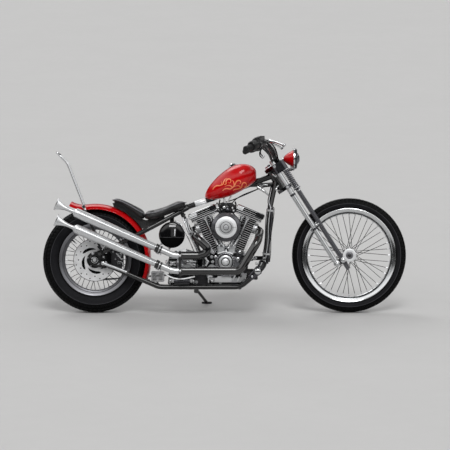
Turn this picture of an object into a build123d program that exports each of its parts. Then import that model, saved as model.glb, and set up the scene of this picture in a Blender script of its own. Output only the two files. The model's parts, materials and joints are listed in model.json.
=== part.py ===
from build123d import *

import math
import os
from typing import NamedTuple

# Rigid-frame V-twin chopper with a springer fork, in millimetres.
# It is modelled upright: X forward from the rear axle, Y to the rider's left, Z up from the floor.
# The last section leans every piece onto the side stand and writes it out.

os.makedirs("parts", exist_ok=True)

# --- Driving dimensions: stance ---
wheelbase = 1506.0
lean = 10.0  # degrees, to the left, as it parks
seat_gap = 0.3  # between pieces that rest on each other
running_gap = 0.4  # radial, between a shaft and its bore

# --- Driving dimensions: frame ---
rail_half_width = 112.0
rail_radius = 13.5
rail_z = 151.0
backbone_radius = 17.0
seat_tube_radius = 12.5
cross_radius = 11.0
axle_plate_thickness = 8.0
neck_radius = 25.0
neck_length = 120.0
stem_radius = 14.0
rake = 32.6  # degrees from the vertical
neck_x = 1110.0  # the steering axis passes through this point
neck_z = 728.7

# --- Driving dimensions: engine ---
crank_x = 778.0
crank_z = 236.0
cylinder_tilt = 22.5
case_half_width = 62.0
deck_height = 150.0
barrel_height = 126.0
head_height = 74.0
barrel_half = 62.0
head_half = 66.0
fin_pitch = 12.0
fin_thickness = 4.5
fin_depth = 12.0
rocker_height = 56.0
rocker_half = 88.0
rocker_shift = 6.0  # of the rocker covers, toward the middle of the V
pushrod_radius = 9.0
pushrod_y = -76.0

# --- Driving dimensions: transmission ---
gearbox_x = 520.0
gearbox_z = 285.0
gearbox_length = 160.0
gearbox_height = 120.0
chain_y = 84.0
chain_width = 16.0
chain_height = 14.0
rear_sprocket_radius = 121.0
gear_sprocket_radius = 58.0
primary_inner_y = 98.0
primary_depth = 66.0

# --- Driving dimensions: exhaust ---
pipe_radius = 24.0
pipe_y = -182.0
upper_pipe_z = 338.0
lower_pipe_z = 248.0
muffler_rear_radius = 25.0
muffler_front_radius = 18.0
muffler_slope = 23.6  # degrees, rising to the rear
muffler_spread = 95.0

# --- Driving dimensions: fork and bars ---
leg_half_width = 80.0
rear_leg_radius = 13.5
front_leg_radius = 11.0
rear_leg_lead = 36.0  # ahead of the steering axis
front_leg_lead = 78.0
spring_radius = 19.0
bar_radius = 12.7

# --- Driving dimensions: body ---
fender_gap = 22.0  # from the rear tyre's tread
fender_half_width = 74.0
fender_depth = 32.0
sheet = 3.0
rest_radius = 9.0  # of the cross rods that carry the fender and the box
tank_half_width = 135.0
tunnel_half_width = backbone_radius + 4.0
oil_tank_x = 455.0
oil_tank_z = 460.0
electrical_box_bottom = 182.0
headlight_radius = 57.0
oil_tank_radius = 77.0
sissy_radius = 6.5


class Wheel(NamedTuple):
    """One wheel: the place of its axle and the sizes of its tyre, rim and hub."""

    name: str
    x: float
    tyre_radius: float
    crown_radius: float  # half the tyre's width
    bead_radius: float
    flange_radius: float
    rim_half_width: float
    well_radius: float
    well_half_width: float
    hub_half_length: float
    hub_end_radius: float
    flange_y: float
    hub_flange_radius: float
    barrel_radius: float
    axle_radius: float

    @property
    def z(self):
        """Axle height at which the leaning crown just meets the floor."""
        lift = self.crown_radius / math.cos(math.radians(lean))
        return self.tyre_radius - self.crown_radius + lift

    @property
    def centre(self):
        return (self.x, 0.0, self.z)


rear_sizes = (311.0, 61.0, 203.5, 214.0, 42.0, 179.0, 20.0, 80.5, 34.0, 38.0, 44.0, 30.0, 10.0)
front_sizes = (338.7, 43.0, 267.5, 279.0, 31.0, 244.0, 13.0, 46.0, 20.0, 30.0, 38.0, 21.0, 9.0)
rear = Wheel("rear", 0.0, *rear_sizes)
front = Wheel("front", wheelbase, *front_sizes)
fender_radius = rear.tyre_radius + fender_gap


# --- Helpers, each used inside a BuildPart block ---
def side_plane(y):
    """The side-view plane at y, whose sketch coordinates are (x, z); extruding goes to the right (-Y)."""
    return Plane.XZ.offset(-y)


def cross_plane(centre):
    """The plane across the machine at centre, whose sketch coordinates are (y, height)."""
    return Plane(origin=centre, x_dir=(0, 1, 0), z_dir=(1, 0, 0))


def turned(centre, outline, mode=Mode.ADD):
    """Revolve a closed outline of (y, radius) points about the cross-wise axis through centre."""
    with BuildSketch(cross_plane(centre)) as section:
        with BuildLine():
            Polyline(*outline, close=True)
        make_face()
    revolve(section.sketch, axis=Axis(centre, (0, 1, 0)), mode=mode)


def disc(x, z, radius, y_left, y_right, mode=Mode.ADD):
    """A round slab across the machine between two y values."""
    with BuildSketch(side_plane(y_left)) as profile:
        with Locations((x, z)):
            Circle(radius)
    extrude(profile.sketch, amount=y_left - y_right, mode=mode)


def side_disc(side, x, z, radius, near, far, mode=Mode.ADD):
    """A round slab on one side of the machine, between two distances from its middle plane."""
    y_right, y_left = sorted((side * near, side * far))
    disc(x, z, radius, y_left, y_right, mode=mode)


def slab(outline, y_left, y_right, corner=0.0, mode=Mode.ADD):
    """A plate of the given side-view outline between two y values."""
    with BuildSketch(side_plane(y_left)) as profile:
        with BuildLine():
            Polyline(*outline, close=True)
        make_face()
        if corner:
            fillet(profile.vertices(), radius=corner)
    extrude(profile.sketch, amount=y_left - y_right, mode=mode)


def block(x_range, y_range, z_range, mode=Mode.ADD):
    """A box between pairs of limits."""
    sizes = [high - low for low, high in (x_range, y_range, z_range)]
    middle = [(high + low) / 2 for low, high in (x_range, y_range, z_range)]
    with Locations(tuple(middle)):
        Box(*sizes, mode=mode)


def rod(start, end, radius, mode=Mode.ADD):
    """A straight round bar between two points."""
    axis = Vector(end) - Vector(start)
    with BuildSketch(Plane(origin=start, z_dir=axis)) as profile:
        Circle(radius)
    extrude(profile.sketch, amount=axis.length, mode=mode)


def bar(corners, radius, bend, mode=Mode.ADD):
    """A bent round bar through corner points, each corner rounded by its bend radius."""
    with BuildLine() as path:
        FilletPolyline(*corners, radius=bend)
    with BuildSketch(Plane(origin=path.line @ 0, z_dir=path.line % 0)) as profile:
        Circle(radius)
    sweep(profile.sketch, path=path.wire(), mode=mode)


# --- Steering geometry: s runs up the steering axis from the neck point, lead is ahead of it ---
steer_up = Vector(-math.sin(math.radians(rake)), 0, math.cos(math.radians(rake)))
steer_ahead = Vector(math.cos(math.radians(rake)), 0, math.sin(math.radians(rake)))
neck = Vector(neck_x, 0, neck_z)


def steer_point(s, lead=0.0, y=0.0):
    """A point at s up the steering axis, lead ahead of it and y to the left."""
    return neck + steer_up * s + steer_ahead * lead + Vector(0, y, 0)


def steer_plane(s):
    """The plane across the steering axis at s, whose sketch coordinates are (lead, y)."""
    return Plane(origin=steer_point(s), x_dir=steer_ahead, z_dir=steer_up)


front_axle_offset = Vector(*front.centre) - neck
axle_s = front_axle_offset.dot(steer_up)
rear_leg_bottom_s = axle_s - 4.0
rear_leg_top_s = 172.0
front_leg_top_s = 134.0

neck_bottom_s = 8.0
neck_top_s = neck_bottom_s + neck_length

# ======================================================================
# Wheels
# ======================================================================
pieces = {}
flange_thickness = 4.0
shoulder_angle = 70.0  # of a tyre's shoulder, round its crown from the middle
spoke_count = 40
spoke_radius = 2.0
lacing = 34.0  # degrees by which a spoke leans along the hub

for wheel in (rear, front):
    inner_half = wheel.rim_half_width - 4.0
    hub_y = wheel.hub_half_length

    def crown(angle):
        """A point of the tyre's round crown, at an angle from its middle."""
        turn = math.radians(angle)
        core = wheel.tyre_radius - wheel.crown_radius
        return (wheel.crown_radius * math.sin(turn), core + wheel.crown_radius * math.cos(turn))

    # The crown has a shoulder, and a flat at the lean angle where the parked tyre meets the floor
    half = [(inner_half - seat_gap, wheel.bead_radius)]
    half += [crown(angle) for angle in (shoulder_angle, lean)]
    outline = half + [(-y, radius) for y, radius in reversed(half)]
    with BuildPart() as tyre:
        turned(wheel.centre, outline)
    pieces[f"{wheel.name}_tyre"] = tyre

    # Drop-centre rim: flanges that flare with the tyre's walls, and a shallow well that takes the spokes
    seat_radius = wheel.bead_radius - seat_gap
    wall_y, wall_radius = half[1]
    flare = (wall_y - half[0][0]) / (wall_radius - half[0][1])
    flange_inner_y = inner_half + flare * (wheel.flange_radius - seat_radius)
    half = [
        (inner_half, seat_radius),
        (flange_inner_y, wheel.flange_radius),
        (flange_inner_y + flange_thickness, wheel.flange_radius),
        (wheel.rim_half_width, seat_radius - 5.0),
        (wheel.well_half_width, wheel.well_radius),
    ]
    with BuildPart() as rim:
        turned(wheel.centre, half + [(-y, radius) for y, radius in reversed(half)])
    pieces[f"{wheel.name}_rim"] = rim

    # Hub with two drilled flanges, and forty laced spokes growing from them
    bore_radius = wheel.axle_radius + running_gap
    half = [
        (hub_y, bore_radius),
        (hub_y, wheel.hub_end_radius),
        (wheel.flange_y + 6.0, wheel.hub_end_radius),
        (wheel.flange_y + 6.0, wheel.hub_flange_radius),
        (wheel.flange_y, wheel.hub_flange_radius),
        (wheel.flange_y, wheel.barrel_radius),
    ]
    with BuildPart() as hub:
        turned(wheel.centre, half + [(-y, radius) for y, radius in reversed(half)])
        for index in range(spoke_count):
            turn = 360.0 * index / spoke_count
            side = 1 if index % 2 else -1
            trailing = index % 4 < 2
            foot_angle = math.radians(turn + (lacing if trailing else -lacing))
            foot_radius = wheel.hub_flange_radius - 5.0
            foot_y = side * (wheel.flange_y + (4.5 if trailing else 0.5))
            tip_angle = math.radians(turn)
            tip_radius = wheel.well_radius - 2 * seat_gap
            foot = Vector(foot_radius * math.cos(foot_angle), foot_y, foot_radius * math.sin(foot_angle))
            tip = Vector(tip_radius * math.cos(tip_angle), side * 5.0, tip_radius * math.sin(tip_angle))
            with BuildSketch(Plane(origin=Vector(*wheel.centre) + foot, z_dir=tip - foot)):
                RegularPolygon(radius=spoke_radius, side_count=6)
        extrude(amount=(tip - foot).length)
    pieces[f"{wheel.name}_hub"] = hub

# Rear brake disc on the right-hand end of the hub
disc_radius = 127.0
disc_half = 2.5
disc_y = -(rear.hub_half_length + seat_gap + disc_half)
with BuildPart() as brake_disc:
    disc(rear.x, rear.z, disc_radius, disc_y + disc_half, disc_y - disc_half)
    disc(rear.x, rear.z, rear.axle_radius + 3.0, disc_y + disc_half, disc_y - disc_half, mode=Mode.SUBTRACT)
    with BuildSketch(side_plane(disc_y + disc_half)):
        with Locations((rear.x, rear.z)):
            with PolarLocations(114.0, 16):
                Circle(5.0)
            with PolarLocations(72.0, 5):
                SlotArc(CenterArc((0, 0), 30, 20, 120), 16)
    extrude(amount=2 * disc_half, mode=Mode.SUBTRACT)
pieces["brake_disc"] = brake_disc

# Rear sprocket on the left-hand end of the hub, inside the chain's loop
sprocket_outer = rear_sprocket_radius - chain_height / 2 - 0.6
sprocket_y = rear.hub_half_length + seat_gap
with BuildPart() as rear_sprocket:
    disc(rear.x, rear.z, sprocket_outer, sprocket_y + 7.0, sprocket_y)
    disc(rear.x, rear.z, rear.axle_radius + 3.0, sprocket_y + 7.0, sprocket_y, mode=Mode.SUBTRACT)
    with BuildSketch(side_plane(sprocket_y + 7.0)):
        with Locations((rear.x, rear.z)):
            with PolarLocations(72.0, 5):
                Circle(20.0)
    extrude(amount=7.0, mode=Mode.SUBTRACT)
pieces["rear_sprocket"] = rear_sprocket

# ======================================================================
# Frame
# ======================================================================
plate_inner_y = rail_half_width - axle_plate_thickness / 2
gearbox_bottom = gearbox_z - gearbox_height / 2
gearbox_top = gearbox_z + gearbox_height / 2
case_bottom = 178.0
filter_y = -26.0
filter_z = 226.0
filter_front = 186.0  # of the oil filter, ahead of the crank
filter_radius = 33.0

# Cross members under the engine: x, z and the height of the pad each carries
cross_members = [
    (gearbox_x - 62.0, rail_z, gearbox_bottom - seat_gap),
    (gearbox_x + 52.0, rail_z, gearbox_bottom - seat_gap),
    (700.0, rail_z, case_bottom - seat_gap),
    (856.0, rail_z, case_bottom - seat_gap),
]
seat_tube_x = 622.0
stay_path = [(22, rail_half_width, 342), (318, rail_half_width, 497), (548, 14, 620)]
backbone_path = [(520, 0, 617), (700, 0, 678), (940, 0, 770), (1054, 0, 811)]

# Side stand geometry: a pivot beside the left lower rail, a foot on the floor, and the leg stowed to the rear
tilt_in = math.radians(lean)
stand_pivot = Vector(600, 148, 132)
stand_foot_y = 275.0
stand_foot = Vector(660, stand_foot_y, stand_foot_y * math.tan(tilt_in))
stowed_along = Vector(-0.99, 0.13, 0.03).normalized()
leg_along = (stand_foot - stand_pivot).normalized()
stand_axis = leg_along.cross(stowed_along).normalized()
stand_eye_half = 9.5
stand_pin_radius = 6.0

with BuildPart() as frame_tubes:
    # Left side: axle plate, lower rail with its downtube, and upper stay
    slab(
        [(-30, 288), (-30, 338), (22, 368), (78, 378), (98, 345), (98, 280), (60, 262), (8, 272)],
        plate_inner_y + axle_plate_thickness,
        plate_inner_y,
        corner=8.0,
    )
    bar(
        [
            (60, rail_half_width, 288),
            (380, rail_half_width, rail_z),
            (862, rail_half_width, rail_z),
            (1006, rail_half_width, 275),
            (1034, 62, 600),
            (1072, 15, 775),
        ],
        rail_radius,
        [120, 95, 95, 240],
    )
    bar(stay_path, rail_radius, [110])
    mirror(about=Plane.XZ)

    # Backbone, seat tube and neck gusset on the middle line
    bar(backbone_path, backbone_radius, [300, 300])
    bar([(508, 0, 604), (seat_tube_x - 2, 0, 352), (seat_tube_x, 0, rail_z)], seat_tube_radius, [60])
    rod((905, 0, 753), (1066, 0, 762), cross_radius)
    rod((seat_tube_x, -rail_half_width, rail_z), (seat_tube_x, rail_half_width, rail_z), cross_radius)
    for x, z, pad_top in cross_members:
        rod((x, -rail_half_width, z), (x, rail_half_width, z), cross_radius)
        block((x - 10, x + 10), (-34, 34), (z, pad_top))

    # Front engine mount and rear fender tab
    rod((1010, -rail_half_width + 6, 322), (1010, rail_half_width - 6, 322), cross_radius)
    block((908 + seat_gap, 1009), (-16, -8), (310, 334))
    block((908 + seat_gap, 1009), (8, 16), (310, 334))

    # Rests for the rear fender's front edge, the electrical box, the fuel tank and the oil tank
    rest_reach = fender_radius + rest_radius + seat_gap
    rest_angle = math.radians(21)
    rest_x = rear.x + rest_reach * math.cos(rest_angle)
    rest_z = rear.z - rest_reach * math.sin(rest_angle)
    rod((rest_x, -rail_half_width, rest_z), (rest_x, rail_half_width, rest_z), rest_radius)
    box_rest_z = electrical_box_bottom - seat_gap - rest_radius
    rod((370, -rail_half_width, box_rest_z), (370, rail_half_width, box_rest_z), rest_radius)
    pad_half_width = tunnel_half_width - seat_gap
    for x, z in ((735, 691), (880, 747)):
        block((x - 15, x + 15), (-pad_half_width, pad_half_width), (z - 12, z + 8))
    for side in (-1, 1):
        tab_bottom = oil_tank_z + oil_tank_radius + seat_gap
        block((oil_tank_x - 12, oil_tank_x + 12), sorted((side * 34, side * 48)), (tab_bottom, 572))

    # Side stand lug: a plate from the rail to the pivot pin, with a head that keeps the leg on
    lug_level = stand_eye_half + 0.5
    lug_plane = Plane(origin=stand_pivot - stand_axis * lug_level, z_dir=-stand_axis)
    rail_end = lug_plane.to_local_coords(Vector(stand_pivot.X, rail_half_width, rail_z))
    with BuildSketch(lug_plane):
        Circle(14.0)
        with Locations((rail_end.X, rail_end.Y)):
            Circle(12.0)
        make_hull()
    extrude(amount=7.0)
    pin_end = stand_pivot + stand_axis * lug_level
    rod(stand_pivot - stand_axis * lug_level, pin_end, stand_pin_radius)
    rod(pin_end, pin_end + stand_axis * 5, 11.0)

    # Neck: a hollow head tube along the steering axis
    with BuildSketch(steer_plane(neck_bottom_s)):
        Circle(neck_radius)
    extrude(amount=neck_length)
    with BuildSketch(steer_plane(neck_bottom_s - 20)):
        Circle(stem_radius + running_gap)
    extrude(amount=neck_length + 40, mode=Mode.SUBTRACT)

    # Axle slots
    disc(rear.x, rear.z, rear.axle_radius + seat_gap, 140, -140, mode=Mode.SUBTRACT)
pieces["frame_tubes"] = frame_tubes

# Rear axle with its spacers and nuts
spacer_inner_y = rear.hub_half_length + 8.0
nut_y = plate_inner_y + axle_plate_thickness + seat_gap
rear_nut_length = 14.0
axle_free_end = 14.0  # of each axle, beyond its nut
axle_end_y = nut_y + rear_nut_length + axle_free_end
with BuildPart() as rear_axle:
    disc(rear.x, rear.z, rear.axle_radius, axle_end_y, -axle_end_y)
    for side in (-1, 1):
        side_disc(side, rear.x, rear.z, 17.0, spacer_inner_y, plate_inner_y - seat_gap)
        side_disc(side, rear.x, rear.z, 20.0, nut_y, nut_y + rear_nut_length)
pieces["rear_axle"] = rear_axle

# ======================================================================
# Engine
# ======================================================================
tilt = math.radians(cylinder_tilt)
deck_drop = barrel_half * math.sin(tilt)
deck_run = barrel_half * math.cos(tilt)
deck_x = deck_height * math.sin(tilt)
deck_z = crank_z + deck_height * math.cos(tilt)
case_outline = [
    (crank_x, deck_z + deck_drop),
    (crank_x - deck_x - deck_run, deck_z - deck_drop),
    (crank_x - 128, 300),
    (crank_x - 122, 222),
    (crank_x - 84, case_bottom),
    (crank_x + 86, case_bottom),
    (crank_x + 124, 222),
    (crank_x + 130, 300),
    (crank_x + deck_x + deck_run, deck_z - deck_drop),
]
with BuildPart() as crankcase:
    slab(case_outline, case_half_width, -case_half_width)
    disc(crank_x, crank_z, 66.0, primary_inner_y - seat_gap, case_half_width)
    # Oil filter ahead of the case
    rod((crank_x + 100, filter_y, filter_z), (crank_x + filter_front, filter_y, filter_z), filter_radius)
pieces["crankcase"] = crankcase


def bore_plane(side):
    """The plane across a cylinder's axis at the crank: side 1 is the front cylinder, -1 the rear."""
    up = Vector(side * math.sin(tilt), 0, math.cos(tilt))
    along = Vector(math.cos(tilt), 0, -side * math.sin(tilt))
    return Plane(origin=(crank_x, 0, crank_z), x_dir=along, z_dir=up)


head_base = deck_height + barrel_height
head_top = head_base + head_height
# Finned stages of a cylinder: start, height, half width
finned_stages = [(deck_height, barrel_height, barrel_half), (head_base, head_height, head_half)]
with BuildPart() as cylinders:
    for side in (-1, 1):
        plane = bore_plane(side)
        for start, height, half in finned_stages:
            core = half - fin_depth
            with BuildSketch(plane.offset(start)) as profile:
                Rectangle(2 * core, 2 * core)
                chamfer(profile.vertices(), length=core / 2)
            extrude(amount=height)
            count = int(height // fin_pitch)
            first = start + (height - (count - 1) * fin_pitch - fin_thickness) / 2
            for index in range(count):
                with BuildSketch(plane.offset(first + index * fin_pitch)) as fin:
                    Rectangle(2 * half, 2 * half)
                    chamfer(fin.vertices(), length=half / 3)
            extrude(amount=fin_thickness)
pieces["cylinders"] = cylinders

# Rocker covers in two tiers; they overhang to the right, over the pushrod tubes
rocker_overhang = 24.0
lower_tier = 22.0
# Tiers of a rocker cover: start, height, half width
rocker_tiers = [
    (head_top, lower_tier, rocker_half - 8),
    (head_top + lower_tier, rocker_height - lower_tier, rocker_half),
]
with BuildPart() as rocker_covers:
    for side in (-1, 1):
        for start, height, half in rocker_tiers:
            with BuildSketch(bore_plane(side).offset(start)) as tier:
                with Locations((-side * rocker_shift, -rocker_overhang / 2)):
                    Rectangle(2 * half, 2 * 54.0 + rocker_overhang)
                fillet(tier.vertices(), radius=14)
            extrude(amount=height)
    for side in (-1, 1):
        lid = rocker_covers.faces().sort_by(Axis((0, 0, 0), bore_plane(side).z_dir))[-1]
        chamfer(lid.edges(), length=7)
pieces["rocker_covers"] = rocker_covers

# Pushrod tubes: two to each cylinder, rising from a tappet block on the right of the crankcase
tappet_top_z = 388.0
# Pushrod tubes: side, offset at the head, offset at the foot
pushrods = [(-1, 5.0, 21.0), (-1, 40.0, 43.0), (1, -5.0, 21.0), (1, -40.0, 43.0)]
with BuildPart() as pushrod_tubes:
    for side, head_offset, foot in pushrods:
        plane = bore_plane(side)
        top = plane.from_local_coords((head_offset, pushrod_y, head_top - 3 * seat_gap))
        foot_x = crank_x + side * (64.0 - foot)
        low = Vector(foot_x, pushrod_y, tappet_top_z - 8)
        rod(low, top, pushrod_radius)
        rod(low, low + Vector(0, 0, 22), pushrod_radius + 3.5)
    for side in (-1, 1):
        middle = crank_x + side * 32.0
        block((middle - 26, middle + 26), (-90, -case_half_width - seat_gap), (354, tappet_top_z))
pieces["pushrod_tubes"] = pushrod_tubes

# Cam cover: a rounded plate with the timer cone on it
cam_x = crank_x - 6
cam_z = 300.0
with BuildPart() as cam_cover:
    cover_y = -case_half_width - seat_gap
    slab(
        [(cam_x - 62, 268), (cam_x - 62, 330), (cam_x - 30, 338), (cam_x + 40, 338), (cam_x + 76, 322),
         (cam_x + 84, 262), (cam_x + 50, 214), (cam_x - 20, 214)],
        cover_y,
        cover_y - 26,
        corner=12.0,
    )
    # Outline of the cone: depth over the cover's seat, radius
    cone = [(20.0, 0.0), (20.0, 52.0), (38.0, 46.0), (50.0, 36.0), (56.0, 32.0), (56.0, 0.0)]
    turned((cam_x, 0, cam_z), [(cover_y - depth, radius) for depth, radius in cone])
pieces["cam_cover"] = cam_cover

# Carburettor between the cylinders, with its manifold runners and float bowl
carb_z = 505.0
manifold_z = 560.0
with BuildPart() as carburettor:
    block((crank_x - 27, crank_x + 27), (-94, -44), (carb_z - 27, manifold_z + 8))
    rod((crank_x, -60, manifold_z), (crank_x, 22, manifold_z), 20.0)
    for side in (-1, 1):
        reach = (manifold_z - crank_z) * math.sin(tilt) - head_half - seat_gap
        run = bore_plane(side).x_dir * (side * reach)
        start = Vector(crank_x, 0, manifold_z)
        rod(start, start + run, 17.0)
    rod((crank_x, -70, carb_z - 50), (crank_x, -70, carb_z), 19.0)
pieces["carburettor"] = carburettor

# Air cleaner: a back plate and a deep round cover with a stepped face
air_radius = 86.0
air_back_y = -94.0 - seat_gap
with BuildPart() as air_cleaner:
    turned(
        (crank_x - 2, 0, carb_z),
        [
            (air_back_y, 0.0),
            (air_back_y, air_radius),
            (air_back_y - 9, air_radius),
            (air_back_y - 9, air_radius - 5),
            (air_back_y - 40, air_radius - 5),
            (air_back_y - 50, air_radius - 16),
            (air_back_y - 50, air_radius - 28),
            (air_back_y - 45, air_radius - 34),
            (air_back_y - 45, 22.0),
            (air_back_y - 50, 20.0),
            (air_back_y - 56, 14.0),
            (air_back_y - 56, 0.0),
        ],
    )
pieces["air_cleaner"] = air_cleaner

# ======================================================================
# Transmission
# ======================================================================
box_half = 60.0
with BuildPart() as gearbox:
    low_x = gearbox_x - gearbox_length / 2
    high_x = gearbox_x + gearbox_length / 2
    slab(
        [
            (low_x, gearbox_bottom),
            (high_x, gearbox_bottom),
            (high_x, gearbox_top - 20),
            (high_x - 34, gearbox_top),
            (low_x, gearbox_top),
        ],
        box_half,
        -box_half,
        corner=16.0,
    )
    # Outline of the round end cover: depth over the case's side, radius
    end_cover = [(-2, 0), (-2, 52), (18, 48), (24, 34), (24, 0)]
    turned((gearbox_x + 12, 0, gearbox_z + 8), [(-box_half - depth, radius) for depth, radius in end_cover])
    disc(gearbox_x, gearbox_z, 20.0, primary_inner_y - seat_gap, box_half - 2)
    disc(gearbox_x, gearbox_z, gear_sprocket_radius - chain_height / 2 - seat_gap, chain_y + 4, chain_y - 4)
pieces["gearbox"] = gearbox

# Primary cover: joins the crank and the clutch on the left, with a round clutch lid
engine_end = 66.0
clutch_end = 92.0
with BuildPart() as primary_cover:
    with BuildSketch(side_plane(primary_inner_y + primary_depth)):
        with Locations((crank_x, crank_z)):
            Circle(engine_end)
        with Locations((gearbox_x, gearbox_z)):
            Circle(clutch_end)
        make_hull()
    extrude(amount=primary_depth)
    lid = primary_cover.faces().sort_by(Axis.Y)[-1]
    fillet(lid.edges(), radius=16)
    face_y = primary_inner_y + primary_depth
    disc(gearbox_x, gearbox_z, 56.0, face_y + 7, face_y - 4)
    disc(crank_x, crank_z, 30.0, face_y + 7, face_y - 4)
pieces["primary_cover"] = primary_cover

with BuildPart() as drive_chain:
    for grow, mode in ((chain_height / 2, Mode.ADD), (-chain_height / 2, Mode.SUBTRACT)):
        with BuildSketch(side_plane(chain_y + chain_width / 2)):
            with Locations((rear.x, rear.z)):
                RegularPolygon(rear_sprocket_radius + grow, 36, major_radius=False)
            with Locations((gearbox_x, gearbox_z)):
                RegularPolygon(gear_sprocket_radius + grow, 20, major_radius=False)
            make_hull()
        extrude(amount=chain_width, mode=mode)
pieces["drive_chain"] = drive_chain

# ======================================================================
# Exhaust
# ======================================================================
slope = math.radians(muffler_slope)
muffler_down = Vector(math.cos(slope), 0, -math.sin(slope))
muffler_rear_x = -110.0
muffler_length = 524.0
muffler_tops = [592.0, 592.0 - muffler_spread]
pipe_joint_x = 500.0

# Each header: its port on the head, then the corners it runs through to the joint
port_reach = head_half + seat_gap
rear_port = bore_plane(-1).from_local_coords((-port_reach, -34, head_base + 30))
front_port = bore_plane(1).from_local_coords((port_reach, -34, head_base + 30))
rear_header = [
    rear_port,
    rear_port - bore_plane(-1).x_dir * 28,
    Vector(crank_x - 178, pipe_y, 445),
    Vector(crank_x - 90, pipe_y, 362),
    Vector(crank_x - 168, pipe_y, upper_pipe_z),
    Vector(pipe_joint_x, pipe_y, upper_pipe_z),
]
front_header = [
    front_port,
    front_port + bore_plane(1).x_dir * 24,
    Vector(crank_x + 184, pipe_y, 420),
    Vector(crank_x + 80, pipe_y, lower_pipe_z),
    Vector(pipe_joint_x, pipe_y, lower_pipe_z),
]
with BuildPart() as exhaust_pipes:
    bar(rear_header, pipe_radius, [24, 50, 27, 60])
    bar(front_header, pipe_radius, [24, 60, 60])
pieces["exhaust_pipes"] = exhaust_pipes

# Mufflers: an S-bend out of the joint, a long tapered body and a fishtail
with BuildPart() as mufflers:
    for top_z, joint_z in zip(muffler_tops, (upper_pipe_z, lower_pipe_z)):
        rear_end = Vector(muffler_rear_x, pipe_y, top_z)
        front_end = rear_end + muffler_down * muffler_length
        flat_start = (pipe_joint_x - seat_gap, pipe_y, joint_z)
        elbow_x = front_end.X + (front_end.Z - joint_z) / math.tan(slope)
        bar([flat_start, (elbow_x, pipe_y, joint_z), tuple(front_end)], muffler_front_radius, [120])
        rod(front_end + muffler_down * 8, front_end - muffler_down * 6, muffler_front_radius + 4)
        for station, radius in ((0.0, muffler_rear_radius), (muffler_length, muffler_front_radius)):
            with BuildSketch(Plane(origin=rear_end + muffler_down * station, z_dir=muffler_down)):
                Circle(radius)
        loft()
        with BuildSketch(Plane(origin=rear_end, z_dir=-muffler_down)):
            Circle(muffler_rear_radius)
        extrude(amount=10, taper=40)
        tail = rear_end - muffler_down * 9
        for station, long, wide in ((0.0, 26.0, 26.0), (55.0, 27.0, 26.0), (118.0, 72.0, 20.0)):
            plane = Plane(origin=tail - muffler_down * station, x_dir=(0, 1, 0), z_dir=-muffler_down)
            with BuildSketch(plane):
                Ellipse(wide / 2, long / 2)
        loft()
pieces["mufflers"] = mufflers

# ======================================================================
# Tanks, boxes, seat and fender
# ======================================================================
# Fuel tank sections: x, underside z, top z, half width
tank_sections = [
    (652.0, 680.0, 700.0, 12.0),
    (690.0, 670.0, 766.0, 68.0),
    (760.0, 678.0, 834.0, 112.0),
    (850.0, 712.0, 878.0, tank_half_width),
    (920.0, 754.0, 872.0, 116.0),
    (956.0, 792.0, 828.0, 44.0),
]
cap_x = 820.0
cap_radius = 24.0
cap_stands = 20.0
cap_neck = 16.0


def tank_top(x):
    """The height of the tank's top between two of its sections."""
    for behind, ahead in zip(tank_sections, tank_sections[1:]):
        if behind[0] <= x <= ahead[0]:
            return behind[2] + (ahead[2] - behind[2]) * (x - behind[0]) / (ahead[0] - behind[0])
    return tank_sections[-1][2]


cap_foot = (cap_x, 0, tank_top(cap_x) - cap_neck)
cap_head = (cap_x, 0, tank_top(cap_x) + cap_stands)
with BuildPart() as fuel_tank:
    for x, low, high, half in tank_sections:
        with BuildSketch(Plane(origin=(x, 0, (low + high) / 2), x_dir=(0, 1, 0), z_dir=(1, 0, 0))):
            RectangleRounded(2 * half, high - low, radius=0.48 * min(2 * half, high - low))
    loft()
    tunnel = [(600, 600), (600, 662), (700, 700), (940, 792), (1000, 814), (1000, 600)]
    slab(tunnel, tunnel_half_width, -tunnel_half_width, mode=Mode.SUBTRACT)
    recess_foot = Vector(*cap_foot) - Vector(0, 0, seat_gap)
    rod(recess_foot, cap_head, cap_radius + seat_gap, mode=Mode.SUBTRACT)
pieces["fuel_tank"] = fuel_tank

with BuildPart() as fuel_cap:
    rod(cap_foot, cap_head, cap_radius)
    chamfer(fuel_cap.edges().sort_by(Axis.Z)[-1], length=5)
pieces["fuel_cap"] = fuel_cap

oil_half = 62.0
with BuildPart() as oil_tank:
    disc(oil_tank_x, oil_tank_z, oil_tank_radius, oil_half, -oil_half)
    fillet(oil_tank.edges().filter_by(GeomType.CIRCLE), radius=16)
pieces["oil_tank"] = oil_tank

with BuildPart() as electrical_box:
    block((332, 410), (-104, -30), (electrical_box_bottom, 245))
    fillet(electrical_box.edges().filter_by(Axis.Y), radius=8)
pieces["electrical_box"] = electrical_box

# Rear fender: a rounded channel bent round the wheel, flipped up at its tail
fender_start = -23.0
fender_turn = 121.0
flip_radius = 148.0
flip_turn = 37.0
shoulder = 16.0
with BuildPart() as rear_fender:
    with BuildLine(Plane.XZ):
        hoop = CenterArc((rear.x, rear.z), fender_radius, fender_start, fender_turn)
        JernArc(hoop @ 1, hoop % 1, flip_radius, -flip_turn)
    with BuildSketch(Plane(origin=hoop @ 0, x_dir=(0, 1, 0), z_dir=hoop % 0)):
        with BuildLine():
            inner_half = fender_half_width - sheet
            for side in (-1, 1):
                wall = [(inner_half, shoulder), (inner_half, fender_depth)]
                wall += [(fender_half_width, fender_depth), (fender_half_width, shoulder)]
                Polyline(*[(side * y, depth) for y, depth in wall])
            ThreePointArc((fender_half_width, shoulder), (0, 0), (-fender_half_width, shoulder))
            ThreePointArc((-inner_half, shoulder), (0, sheet), (inner_half, shoulder))
        make_face()
    sweep()
pieces["rear_fender"] = rear_fender

# Seat: a deep rider's cushion and a narrower pad behind it, over a pressed pan
seat_line = [(104, 650), (150, 646), (256, 562), (304, 548), (420, 582), (530, 625)]
seat_half = 118.0
pad_half = 88.0


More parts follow.
